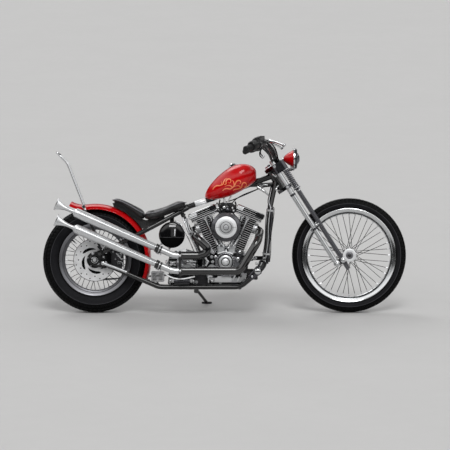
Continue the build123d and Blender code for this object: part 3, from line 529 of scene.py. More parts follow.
class LampGlass(Finish):
    """Clear moulded lamp glass with faint waviness."""

    drift, tones, haze = (30,), ((0.3, 0.96), (0.7, 1)), (40, 4)
    relief = (("noise", (140, 2, 0.5, (0.2, 1, 0.2)), 0.12, 0.001),)
    sockets = {"Transmission Weight": 0.95, "IOR": 1.45}


FLAME_SPAN = (-0.05, 0.16)


class Paintbox:
    """Every finish of the machine, each built once."""

    recipes = (
        GlossPaint("red_paint", (0.54, 0, 0.002), (0.24, 0.405)),
        PlatedMetal("chrome", (0.68, 0.69, 0.7), (0.13, 0.18)),
        PlatedMetal("satin_chrome", (0.7, 0.71, 0.72), (0.26, 0.38), 0.75),
        PlatedMetal("white_metal", (0.86, 0.87, 0.88), (0.34, 0.44), 0.4),
        PlatedMetal("dark_chrome", (0.09, 0.09, 0.1), (0.14, 0.26)),
        PlatedMetal("rim_steel", (0.22, 0.22, 0.235), (0.26, 0.36), 0.8),
        PlatedMetal("bolt_steel", (0.66, 0.67, 0.69), (0.24, 0.36), 0.8),
        TurnedMetal("disc_steel", (0.8, 0.8, 0.81), (0.315, 0.588), 0.45),
        TurnedMetal("fin_edge", (0.78, 0.78, 0.79), (0.3, 0.56), 0.5),
        TurnedMetal("chain_steel", (0.24, 0.24, 0.25), (0.285, 0.532)),
        TurnedMetal("box_steel", (0.6, 0.6, 0.61), (0.3375, 0.63), 0.5),
        CastMetal("cast_alloy", (0.6, 0.61, 0.62), (0.304, 0.475), 0.9),
        CastMetal("fin_alloy", (0.014, 0.014, 0.015), (0.4, 0.625), 0.5, (0.2, 0.2, 0.21)),
        CastMetal("engine_black", (0.006, 0.006, 0.0065), (0.272, 0.425), 0.15, (0.12, 0.12, 0.13)),
        Enamel("black_enamel", (0.0025, 0.0025, 0.0028), (0.1, 0.18)),
        Enamel("black_wire", (0.004, 0.004, 0.004), (0.5, 0.9), gloss=0),
        Rubber("tread_rubber", (0.0022, 0.0022, 0.0024), (0.425, 0.625), 1.6),
        Rubber("tyre_rubber", (0.009, 0.009, 0.0105), (0.51, 0.75)),
        Rubber("wall_line", (0.045, 0.045, 0.05), (0.51, 0.75), 1.4, 0.14),
        Rubber("grip_rubber", (0.005, 0.005, 0.0055), (0.306, 0.45), 1.6, 0.3),
        Rubber("cable_sheath", (0.005, 0.005, 0.0055), (0.221, 0.325), 1.5, 0.4),
        # flat black: real black parts such as gaskets, and painted shade in holes, grooves, slots, tip
        # openings and the oil tank's lower half
        Rubber("flat_black_and_painted_shade", (0.002, 0.002, 0.002), (0.7225, 1), 1.5, 0.05),
        Leather("leather", (0.005, 0.005, 0.0055), (0.32, 0.54)),
        Leather("piping", (0.09, 0.09, 0.1), (0.4, 0.675)),
        GradedCoat("pipe_steel", (0.004, 0.004, 0.0045), (0.2, 0.32)),
        LampGlass("lamp_glass", (0.3, 0.31, 0.33), (0.01, 0.05)),
        FlameInk("flame_body", (0.9, 0.14, 0.06), (0.2, 0.3), (0.85, 0.09, 0.03), *FLAME_SPAN),
        FlameInk("flame_edge", (1, 0.33, 0.13), (0.2, 0.3), (1, 0.23, 0.06), *FLAME_SPAN),
    )
    made: dict[str, bpy.types.Material] = {}

    @classmethod
    def get(cls, name: str) -> bpy.types.Material:
        """The material of a named finish, built on first use.

        Args:
            name: the finish's name.

        Returns:
            The material.
        """
        if name not in cls.made:
            recipe = next(finish for finish in cls.recipes if finish.name == name)
            cls.made[name] = recipe.material()
        return cls.made[name]


# ---- Mesh making ----
RIGHT = Vector((0, -1, 0))
LEFT = Vector((0, 1, 0))
AHEAD = Vector((1, 0, 0))
UP = Vector((0, 0, 1))


def turned_to(axis: Vector) -> tuple[Vector, Vector, Vector]:
    """Three square directions of which the last is the given axis.

    Args:
        axis: the third direction, of any length.

    Returns:
        Two directions across the axis, and the axis at unit length.
    """
    along = Vector(axis).normalized()
    helper = UP if abs(along.z) < 0.9 else AHEAD
    first = helper.cross(along).normalized()
    return first, along.cross(first).normalized(), along


def around(count: int, start: float = 0) -> list[tuple[float, float]]:
    """The cosine and sine of equal steps round a turn, from a starting angle in radians."""
    return [(cos(start + tau * k / count), sin(start + tau * k / count)) for k in range(count)]


def smooth_path(corners: list[Point], steps: int = 8) -> list[Vector]:
    """A flowing curve through its corner points.

    Args:
        corners: the points that the curve passes through.
        steps: pieces between one corner and the next.

    Returns:
        The curve's points, ends included.
    """
    spots = [Vector(corner) for corner in corners]
    ends = [spots[0] * 2 - spots[1], *spots, spots[-1] * 2 - spots[-2]]
    path = []
    for before, start, stop, after in zip(ends, ends[1:], ends[2:], ends[3:]):
        for step in range(steps):
            t = step / steps
            bend = (before * -1 + start * 3 - stop * 3 + after) * t**3
            bow = (before * 2 - start * 5 + stop * 4 - after) * t**2
            path.append((start * 2 + (stop - before) * t + bow + bend) * 0.5)
    return [*path, spots[-1]]


@dataclass
class Form:
    """Faces gathered in upright millimetres, to become one piece."""

    points: list = field(default_factory=list)
    faces: list = field(default_factory=list)
    inks: list = field(default_factory=list)
    finishes: list = field(default_factory=list)
    ink: int = 0

    def use(self, finish: str) -> "Form":
        """Takes a named finish for the faces that follow.

        Args:
            finish: the finish's name.

        Returns:
            The form itself.
        """
        if finish not in self.finishes:
            self.finishes.append(finish)
        self.ink = self.finishes.index(finish)
        return self

    def face(self, corners: list[Vector]) -> None:
        """Adds one face.

        Args:
            corners: its corners in order.
        """
        start = len(self.points)
        self.points.extend(corners)
        self.faces.append(tuple(range(start, start + len(corners))))
        self.inks.append(self.ink)

    def grid(self, rows: list[list[Vector]], round_rows: bool = False, round_all: bool = False) -> None:
        """Adds a quad grid through rows of equal length.

        Args:
            rows: the rows of points.
            round_rows: whether each row closes on itself.
            round_all: whether the last row joins the first.
        """
        start = len(self.points)
        wide = len(rows[0])
        for row in rows:
            self.points.extend(row)
        deep = len(rows)
        for i in range(deep if round_all else deep - 1):
            for j in range(wide if round_rows else wide - 1):
                below, above = i * wide, (i + 1) % deep * wide
                right = (j + 1) % wide
                self.faces.append(
                    (start + below + j, start + below + right, start + above + right, start + above + j)
                )
                self.inks.append(self.ink)

    def lathe(
        self, profile: list[tuple], at: Place, axis: Place, count: int = 64, closed: bool = False
    ) -> None:
        """Turns a profile of (radius, height) about an axis.

        Args:
            profile: radius and height of each corner.
            at: where height zero is.
            axis: the direction of rising height.
            count: sides of the turned form.
            closed: whether the profile closes on itself.
        """
        first, second, along = turned_to(axis)
        rows = []
        for radius, height in profile:
            middle = Vector(at) + along * height
            rows.append([middle + (first * c + second * s) * radius for c, s in around(count)])
        self.grid(rows, round_rows=True, round_all=closed)

    def tube(
        self, path: list, radius: object, sides: int = 12, caps: bool = True, closed: bool = False
    ) -> None:
        """A round bar along a path.

        Args:
            path: points along its middle.
            radius: one radius, or one for each point.
            sides: sides of its section.
            caps: whether its ends are closed.
            closed: whether its end joins its start.
        """
        spots = [Vector(p) for p in path]
        radii = radius if isinstance(radius, list) else [radius] * len(spots)
        ahead = [(b - a).normalized() for a, b in zip(spots, spots[1:])]
        ahead = [ahead[0], *[(a + b).normalized() for a, b in zip(ahead, ahead[1:])], ahead[-1]]
        if closed:
            ahead[0] = ahead[-1] = (ahead[0] + ahead[-1]).normalized()
        first = turned_to(ahead[0])[0]
        rows = []
        for spot, along, size in zip(spots, ahead, radii):
            first = (first - along * first.dot(along)).normalized()
            second = along.cross(first)
            rows.append([spot + (first * c + second * s) * size for c, s in around(sides)])
        if closed:
            rows.pop()
        self.grid(rows, round_rows=True, round_all=closed)
        if caps and not closed:
            self.face(rows[0][::-1])
            self.face(rows[-1])

    def plate(self, rings: list, at: Place, thick: float, ahead: Vector, up: Vector) -> tuple[list, list]:
        """Lays flat outlines in space, and the same again one thickness away.

        Args:
            rings: the outlines, as (ahead, up) lengths.
            at: where their zero is.
            thick: the thickness.
            ahead: their first direction.
            up: their second direction.

        Returns:
            The near outlines and the far ones.
        """
        ahead, up = Vector(ahead).normalized(), Vector(up).normalized()
        through = ahead.cross(up) * thick
        near = [[Vector(at) + ahead * a + up * b for a, b in ring] for ring in rings]
        return near, [[spot + through for spot in ring] for ring in near]

    def slab(self, outline: list, at: Place, thick: float, ahead: Vector = AHEAD, up: Vector = UP) -> None:
        """A flat plate of any outline.

        Args:
            outline: its corners as (ahead, up) lengths.
            at: where the outline's zero is, on the plate's first face.
            thick: how far it reaches along ahead x up.
            ahead: the outline's first direction.
            up: the outline's second direction.
        """
        (near,), (far,) = self.plate([outline], at, thick, ahead, up)
        self.face(near[::-1])
        self.face(far)
        self.grid([near, far], round_rows=True)

    def hoop(self, inner: list, outer: list, at: Place, thick: float, ahead: Vector, up: Vector) -> None:
        """A plate with a hole whose two outlines have the same number of corners."""
        near, far = self.plate([inner, outer], at, thick, ahead, up)
        self.grid([*near, *far[::-1]], round_rows=True, round_all=True)

    def pierced(self, rings: list, at: Place, thick: float, ahead: Vector, up: Vector) -> None:
        """A flat plate with holes.

        Args:
            rings: the outline, then each hole's outline, as (ahead, up) lengths.
            at: where the outlines' zero is, on the plate's first face.
            thick: how far it reaches along ahead x up.
            ahead: the outlines' first direction.
            up: the outlines' second direction.
        """
        near, far = self.plate(rings, at, thick, ahead, up)
        triangles = tessellate_polygon([[Vector((a, b, 0)) for a, b in ring] for ring in rings])
        for level in (near, far):
            start = len(self.points)
            self.points.extend(spot for ring in level for spot in ring)
            self.faces.extend(tuple(start + index for index in triangle) for triangle in triangles)
            self.inks.extend([self.ink] * len(triangles))
        for low, high in zip(near, far):
            self.grid([low, high], round_rows=True)

    def rod(self, start: Point, stop: Point, radius: float, count: int = 20) -> None:
        """A round bar with softened ends from one point to another.

        Args:
            start: the middle of its first end.
            stop: the middle of its last end.
            radius: its radius.
            count: its sides.
        """
        along = Vector(stop) - Vector(start)
        soft = min(radius * 0.35, along.length * 0.3)
        ends = [
            (radius - soft, 0), (radius, soft), (radius, along.length - soft), (radius - soft, along.length)
        ]
        self.lathe([(0, 0), *ends, (0, along.length)], Vector(start), along, count)

    def ribbed(
        self, start: Point, stop: Point, radius: float, pitch: float = 7, depth: float = 1.4
    ) -> None:
        """A bar with turned grooves from one point to another.

        Args:
            start: the middle of its first end.
            stop: the middle of its last end.
            radius: radius over its ribs.
            pitch: distance between grooves.
            depth: depth of the grooves.
        """
        along = Vector(stop) - Vector(start)
        turns = max(1, round(along.length / pitch))
        step = along.length / turns
        profile = [(0, 0)]
        for k in range(turns):
            profile += [
                (radius - depth, k * step), (radius, (k + 0.22) * step), (radius, (k + 0.72) * step)
            ]
        self.lathe([*profile, (radius - depth, along.length), (0, along.length)], start, along, 20)

    def dome(self, at: Place, axis: Place, radius: float, height: float, count: int = 32) -> None:
        """A rounded cap on a short cylinder foot.

        Args:
            at: the middle of its foot.
            axis: away from its seat.
            radius: its radius.
            height: its height.
            count: its sides.
        """
        foot = height * 0.35
        turns = [pi / 2 * k / 6 for k in range(7)]
        cap = [(radius * cos(t), foot + (height - foot) * sin(t)) for t in turns]
        self.lathe([(radius, -1), *cap], at, axis, count)

    def recolour(self, finish: str, first: int, test: object) -> None:
        """Gives another finish to the faces from a number on whose middle passes a test.

        Args:
            finish: the other finish.
            first: number of the first face that is looked at.
            test: a function of a face's middle.
        """
        kept = self.ink
        self.use(finish)
        for number in range(first, len(self.faces)):
            corners = [self.points[k] for k in self.faces[number]]
            if test(sum(corners, Vector()) / len(corners)):
                self.inks[number] = self.ink
        self.ink = kept

    def ball(self, at: Place, radius: float, count: int = 16) -> None:
        """A ball.

        Args:
            at: its middle.
            radius: its radius.
            count: its sides.
        """
        half = count // 2
        steps = [pi * k / half - pi / 2 for k in range(half + 1)]
        self.lathe([(radius * cos(t), radius * sin(t)) for t in steps], at, UP, count)

    def bolt(self, at: Place, axis: Place, size: float = 7, tall: float = 5) -> None:
        """A hexagon bolt head on its washer.

        Args:
            at: the middle of the seat.
            axis: away from the seat.
            size: half the width over the head's corners.
            tall: height of the head.
        """
        washer = [(0, -1), (size * 1.35, -1), (size * 1.35, 1), (size * 1.2, 1.2), (0, 1.2)]
        self.lathe(washer, at, axis, 20)
        self.lathe([(size, 0), (size, tall * 0.85), (size * 0.82, tall), (0, tall)], at, axis, 6)

    def cap_screw(self, at: Place, axis: Place, size: float = 5, tall: float = 5) -> None:
        """A round socket screw head with its six-sided recess.

        Args:
            at: the middle of its seat.
            axis: away from the seat.
            size: its radius.
            tall: its height.
        """
        rim = [(size, -0.5), (size, tall * 0.75), (size * 0.86, tall), (size * 0.56, tall)]
        self.lathe(rim, at, axis, 18)
        self.lathe([(size * 0.58, tall), (size * 0.54, tall * 0.35), (0, tall * 0.35)], at, axis, 18)

    def placed(self, name: str) -> bpy.types.Object:
        """Turns the faces into an object in the row frame.

        Args:
            name: the object's name.

        Returns:
            The new object.
        """
        mesh = bpy.data.meshes.new(name)
        mesh.from_pydata([TO_ROW @ Vector(point) for point in self.points], [], self.faces)
        for finish in self.finishes:
            mesh.materials.append(Paintbox.get(finish))
        mesh.polygons.foreach_set("material_index", self.inks)
        tidy_mesh(mesh)
        piece = bpy.data.objects.new(name, mesh)
        bpy.context.scene.collection.objects.link(piece)
        return piece

    def make(self, name: str, body: Body, slot: str, soft: float, stands_for: tuple = ()) -> None:
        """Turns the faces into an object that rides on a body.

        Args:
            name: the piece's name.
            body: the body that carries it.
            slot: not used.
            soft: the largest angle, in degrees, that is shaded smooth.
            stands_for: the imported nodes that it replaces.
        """
        piece = self.placed(name)
        mesh = piece.data
        mesh.shade_smooth()
        mesh.set_sharp_from_angle(angle=radians(soft))
        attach(piece, body.value)
        if stands_for:
            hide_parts(*stands_for)
        log.info("%s: %d faces on %s", name, len(mesh.polygons), body.value)


def tidy_mesh(mesh: bpy.types.Mesh) -> None:
    """Welds a mesh's doubled points and turns its faces outward.

    Args:
        mesh: the mesh to tidy.
    """
    reach = 0.02 * MM
    work = bmesh.new()
    work.from_mesh(mesh)
    bmesh.ops.remove_doubles(work, verts=work.verts, dist=reach)
    bmesh.ops.dissolve_degenerate(work, edges=work.edges, dist=reach * 0.2)
    bmesh.ops.recalc_face_normals(work, faces=work.faces)
    work.to_mesh(mesh)
    work.free()


def circle(radius: float, count: int) -> list[tuple]:
    """Corners of a regular outline."""
    return [(radius * c, radius * s) for c, s in around(count)]


def rectangle(a: float, b: float, far_a: float, far_b: float) -> list[tuple]:
    """Corners of a rectangle between two opposite ones."""
    return [(a, b), (far_a, b), (far_a, far_b), (a, far_b)]


def rounded_square(half_long: float, half_wide: float, corner: float, steps: int = 4) -> list[tuple]:
    """Corners of a rectangle with round corners, about its middle.

    Args:
        half_long: half its length.
        half_wide: half its width.
        corner: radius of its corners.
        steps: pieces of each corner.

    Returns:
        The corners.
    """
    outline = []
    for quarter, (sign_a, sign_b) in enumerate(((1, 1), (-1, 1), (-1, -1), (1, -1))):
        for step in range(steps + 1):
            turn = pi / 2 * (quarter + step / steps)
            a = sign_a * (half_long - corner) + corner * cos(turn)
            outline.append((a, sign_b * (half_wide - corner) + corner * sin(turn)))
    return outline


def cornered(outline: list[tuple]) -> list[tuple[Vector, Vector, Vector]]:
    """Each corner of an outline between the one before and the one after."""
    spots = [Vector(corner) for corner in outline]
    return list(zip(spots[-1:] + spots[:-1], spots, spots[1:] + spots[:1]))


def rounded(outline: list[tuple], radius: float, steps: int = 4) -> list[tuple]:
    """An outline with each corner rounded.

    Args:
        outline: its corners.
        radius: radius of the roundings, cut down where an edge is short.
        steps: pieces of each rounding.

    Returns:
        The new corners.
    """
    result = []
    for before, corner, after in cornered(outline):
        back, onward = before - corner, after - corner
        half = back.angle(onward) / 2
        cut = min(radius / tan(half), back.length * 0.45, onward.length * 0.45)
        start, stop = corner + back.normalized() * cut, corner + onward.normalized() * cut
        for step in range(steps + 1):
            t = step / steps
            result.append(tuple(start * (1 - t) ** 2 + corner * (2 * t * (1 - t)) + stop * t**2))
    return result


def grown(outline: list[tuple], amount: float) -> list[tuple]:
    """An outline moved outward by an amount, or inward where it is negative.

    Args:
        outline: its corners.
        amount: how far outward.

    Returns:
        The new corners.
    """
    corners = cornered(outline)
    turning = sum(a.x * b.y - b.x * a.y for _, a, b in corners)
    shift = amount if turning > 0 else -amount
    result = []
    for before, corner, after in corners:
        edge = (after - before).normalized()
        result.append((corner.x + edge.y * shift, corner.y - edge.x * shift))
    return result


def outward(turn: float) -> Vector:
    """The direction square to the wheels' axles at a turn in radians, from straight ahead."""
    return Vector((cos(turn), 0, sin(turn)))


def ringed(centre: Vector, radius: float, out: float, count: int, start: float = 0) -> list[Vector]:
    """Places evenly round a circle that faces sideways.

    Args:
        centre: the middle that it is measured from.
        radius: the circle's radius.
        out: how far the circle stands to the left of the middle.
        count: how many places.
        start: turn of the first one, in radians.

    Returns:
        The places.
    """
    return [centre + Vector((radius * c, out, radius * s)) for c, s in around(count, start)]


def spaced(route: list[Vector], count: int, first: float = 0) -> list[Vector]:
    """Places at an even pitch along a route that ends where it starts.

    Args:
        route: the route's points.
        count: how many places.
        first: how far along the first one is.

    Returns:
        The places.
    """
    lengths = [(b - a).length for a, b in zip(route, route[1:])]
    pitch, walked, spots = sum(lengths) / count, 0, []
    for a, b, length in zip(route, route[1:], lengths):
        while first < walked + length and len(spots) < count:
            spots.append(a.lerp(b, (first - walked) / length))
            first += pitch
        walked += length
    return spots


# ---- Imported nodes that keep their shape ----
class KeptNodes:
    """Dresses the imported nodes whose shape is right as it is."""

    finishes = {
        "frame_tubes": "black_enamel",
        "rear_axle": "satin_chrome",
        "carburettor": "dark_chrome",
        "gearbox": "engine_black",
        "primary_cover": "chrome",
        "exhaust_pipes": "pipe_steel",
        "mufflers": "satin_chrome",
        "fuel_tank": "red_paint",
        "fuel_cap": "chrome",
        "oil_tank": "black_enamel",
        "electrical_box": "box_steel",
        "rear_fender": "red_paint",
        "seat_pan": "black_enamel",
        "sissy_bar": "chrome",
        "brake_caliper": "engine_black",
        "fork_rear_legs": "satin_chrome",
        "fork_front_legs": "dark_chrome",
        "front_axle": "chrome",
        "fork_trees": "dark_chrome",
        "headlight_shell": "red_paint",
        "headlight_rim": "chrome",
        "headlight_lens": "lamp_glass",
        "headlight_reflector": "dark_chrome",
        "handlebar": "black_enamel",
        "hand_controls": "black_enamel",
        "foot_controls": "dark_chrome",
        "side_stand": "black_enamel",
        "fork_rockers": "chrome",
    }

    def build(self) -> None:
        """Smooths each kept node's facets and gives it its finish."""
        for name, finish in self.finishes.items():
            node = frame["nodes"][name]
            if node.hide_render:
                continue
            node.data.materials.clear()
            node.data.materials.append(Paintbox.get(finish))
            node.data.shade_smooth()
            weld = node.modifiers.new("weld", "WELD")
            weld.merge_threshold = 0.00001
            if name == "foot_controls":
                self.round_edges(node, 0.8)
            split = node.modifiers.new("creases", "EDGE_SPLIT")
            split.split_angle = radians(28)
            split.use_edge_sharp = False
            log.info("%s: kept, finish %s", name, finish)

    def round_edges(self, node: bpy.types.Object, width: float) -> None:
        """Rounds a node's sharp edges.

        Args:
            node: the node.
            width: the rounding's width, in millimetres.
        """
        rounding = node.modifiers.new("rounding", "BEVEL")
        rounding.width = width * MM
        rounding.segments = 2
        rounding.limit_method = "ANGLE"
        rounding.angle_limit = radians(40)
        rounding.harden_normals = True


# ---- Wheels and final drive ----
@dataclass
class WireWheel:
    """One wheel: tyre with its tread, drop-centre rim, and hub laced with spokes."""

    side: str
    body: Body
    centre: Vector
    tyre_radius: float
    crown: float
    bead_radius: float
    flange_radius: float
    rim_half: float
    well_radius: float
    well_half: float
    hub_half: float
    hub_end: float
    flange_y: float
    hub_flange: float
    barrel: float
    axle: float
    rim_finish: str
    hub_finish: str
    tread_rows: int
    tread_count: int
    tread_depth: float
    spokes: int = 40
    lacing: float = 34
    spoke_radius: float = 1.7

    def crown_point(self, angle: float, drop: float = 0) -> tuple[float, float]:
        """Radius and height of the round crown at an angle from its middle, in degrees.

        Args:
            angle: the angle from the crown's middle, in degrees.
            drop: how far below the crown.

        Returns:
            The radius, and the height along the axle.
        """
        turn = radians(angle)
        reach = self.crown - drop
        return self.tyre_radius - self.crown + reach * cos(turn), reach * sin(turn)

    def at(self, radius: float, turn: float, y: float) -> Vector:
        """A point at a radius from the axle, a turn in radians and a height along the axle."""
        return self.centre + Vector((radius * cos(turn), y, radius * sin(turn)))

    def build(self) -> None:
        """Makes the wheel's pieces."""
        self.tyre()
        self.rim()
        self.hub()

    def tyre(self) -> None:
        """Makes the tyre: charcoal walls with a fine ring line painted lighter as the shoulder's highlight,
        and a black carcass under the tread.
        """
        form = Form()
        inner = self.rim_half - 4
        bead = [
            (self.bead_radius, inner), (self.bead_radius + 10, inner + 1.5),
            (self.flange_radius + 3, inner + 3)
        ]
        low, high = Vector(bead[-1]), Vector(self.crown_point(78, 1))
        bead += [(low.x + 2, low.y + 1.8), (low.x + 5, low.y + 1.8)]
        swell = (self.crown - inner) * 0.16
        bulge = [low.lerp(high, t) + Vector((0, swell * sin(pi * t))) for t in (0.2, 0.4, 0.6, 0.8, 1)]
        wall = [bead[-1], *[tuple(point) for point in bulge]]
        # a glossy ring line on the shoulder, painted lighter than the wall as a painted highlight
        line = [
            wall[-1], (high.x + 0.8, high.y + 0.9), (high.x + 2.6, high.y + 0.7),
            (high.x + 3.2, high.y - 1.2)
        ]
        crown = [
            line[-1], *[self.crown_point(angle, self.tread_depth) for angle in (70, 60, 48, 36, 24, 12, 0)]
        ]
        for finish, part in (
            ("tread_rubber", bead), ("tyre_rubber", wall), ("wall_line", line), ("tread_rubber", crown)
        ):
            form.use(finish)
            for side in (-1, 1):
                form.lathe([(r, side * min(y, self.crown)) for r, y in part], self.centre, LEFT, 160)
        form.use("tread_rubber")
        self.tread(form)
        form.make(
            f"{self.side}_tyre_rubber", self.body, "tyre_rubber", 40, stands_for=(f"{self.side}_tyre",)
        )

    def tread(self, form: Form) -> None:
        """Adds the tread blocks: staggered rows of curved blocks on the crown.

        Args:
            form: the form that takes them.
        """
        reach = 74
        step = 2 * reach / self.tread_rows
        pitch = tau / self.tread_count
        for row in range(self.tread_rows):
            low = -reach + row * step + step * 0.09
            high = low + step * 0.82
            stagger = (row % 2) * pitch / 2
            slant = 0.22 * pitch * (1 if row < self.tread_rows / 2 else -1)
            for index in range(self.tread_count):
                self.tread_block(form, low, high, index * pitch + stagger, pitch * 0.82, slant)

    def tread_block(
        self, form: Form, low: float, high: float, start: float, long: float, slant: float
    ) -> None:
        """Adds one block between two crown angles, from a starting turn.

        Args:
            form: the form that takes it.
            low: its lower crown angle.
            high: its upper crown angle.
            start: its starting turn, in radians.
            long: its length, as a turn.
            slant: how far its upper edge is turned on.
        """
        rings = []
        for drop, shrink in ((self.tread_depth + 0.6, 0), (0.6, 0.02), (0.05, 0.08)):
            corners = []
            for fraction, edge in ((0, 0), (0.5, 0), (1, 0), (1, 1), (0.5, 1), (0, 1)):
                share = shrink + fraction * (1 - 2 * shrink)
                angle = low + (high - low) * share
                turn = start + long * (shrink if not edge else 1 - shrink) + slant * share
                radius, y = self.crown_point(angle, drop)
                corners.append(self.at(radius, turn, y))
            rings.append(corners)
        form.grid(rings, round_rows=True)
        top = rings[-1]
        form.face([top[0], top[1], top[4], top[5]])
        form.face([top[1], top[2], top[3], top[4]])

    def rim(self) -> None:
        """Makes the rim: rolled flanges, dropped centre, and a nipple at each spoke."""
        form = Form().use(self.rim_finish)
        inner, edge = self.rim_half - 4, self.flange_radius
        half = [
            (self.bead_radius - 1, inner - 0.5),
            (edge - 3, inner + 1),
            (edge, inner + 2.6),
            (edge - 0.4, inner + 4.4),
            (edge - 3, inner + 5.2),
            (edge - 5.5, inner + 4),
            (self.bead_radius - 2, inner + 2.5),
            (self.bead_radius - 8, self.rim_half - 3),
            (self.bead_radius - 12, self.rim_half - 10),
            (self.well_radius + 4, self.well_half + 8),
            (self.well_radius + 0.8, self.well_half + 3),
            (self.well_radius, self.well_half - 2),
            (self.well_radius, 4),
        ]
        well = [(self.well_radius + 3, 0)]
        back = [(self.well_radius + 3, self.well_half), (self.bead_radius - 5, self.rim_half - 12)]
        side = half + [(self.well_radius, 0)]
        inside = [(r, -y) for r, y in reversed(back)] + well + back
        section = side + [(r, -y) for r, y in reversed(half)] + inside
        form.lathe(section, self.centre, LEFT, 144, closed=True)
        form.use("bolt_steel")
        for index in range(self.spokes):
            foot, tip = self.spoke_line(index)
            along = (foot - tip).normalized()
            form.lathe([(4.6, -2), (4.6, 0.6), (3.2, 2.2)], tip, along, 10)
            form.lathe([(3, 1), (2.7, 13), (2.2, 14), (0, 14)], tip, along, 8)
        self.valve(form)
        slot = "chrome" if self.side == "front" else "rear_rim_metal"
        form.make(f"{self.side}_rim_steel", self.body, slot, 32, stands_for=(f"{self.side}_rim",))

    def valve(self, form: Form) -> None:
        """Adds the tyre valve between two spokes.

        Args:
            form: the form that takes it.
        """
        turn = tau * 0.5 / self.spokes + pi * 0.75
        foot = self.at(self.well_radius, turn, 0)
        inward = (self.centre - foot).normalized()
        form.use("cable_sheath").lathe([(5, -1), (4.4, 6), (3.6, 14), (3.6, 22), (0, 22)], foot, inward, 12)
        form.use("bolt_steel").lathe([(3.2, 20), (3.2, 30), (2.4, 32), (0, 32)], foot, inward, 12)

    def spoke_line(self, index: int) -> tuple[Vector, Vector]:
        """Foot at the hub flange and tip at the rim of a spoke.

        Args:
            index: the spoke's number.

        Returns:
            Its foot and its tip.
        """
        turn = tau * index / self.spokes
        side = 1 if index % 2 else -1
        trailing = index % 4 < 2
        foot_turn = turn + radians(self.lacing if trailing else -self.lacing)
        foot_y = side * (self.flange_y + (5.6 if trailing else 0.4))
        foot = self.at(self.hub_flange - 5, foot_turn, foot_y)
        return foot, self.at(self.well_radius + 0.5, turn, side * 5)

    def hub(self) -> None:
        """Makes the hub: waisted barrel, flanges, end rings and laced spokes."""
        form = Form().use(self.hub_finish)
        bore = self.axle + 0.6
        flange = self.flange_y + 6
        half = [
            (bore, self.hub_half),
            (self.hub_end - 2, self.hub_half),
            (self.hub_end, self.hub_half - 2),
            (self.hub_end, flange + 3),
            (self.hub_end + 2, flange + 0.8),
            (self.hub_flange - 2, flange),
            (self.hub_flange, flange - 1.5),
            (self.hub_flange, self.flange_y + 1.5),
            (self.hub_flange - 2, self.flange_y),
            (self.barrel + 5, self.flange_y - 1.5),
            (self.barrel + 1, self.flange_y - 6),
            (self.barrel - 2, self.flange_y - 16),
        ]
        section = half + [(r, -y) for r, y in reversed(half)]
        form.lathe(section, self.centre, LEFT, 72, closed=True)
        form.use("black_wire")
        for index in range(self.spokes):
            foot, tip = self.spoke_line(index)
            side = 1 if foot.y > self.centre.y else -1
            away = (tip - foot).normalized()
            hook = foot + LEFT * (side * (-7 if index % 4 < 2 else 7))
            form.tube([hook, foot, foot + away * 3, tip], self.spoke_radius, 6, caps=False)
            form.lathe([(0, 1.8), (2.6, 1.4), (3.2, 0.2), (0, 0)], hook, hook - foot, 8)
        form.make(f"{self.side}_hub_laced", self.body, "black_spokes", 36, stands_for=(f"{self.side}_hub",))


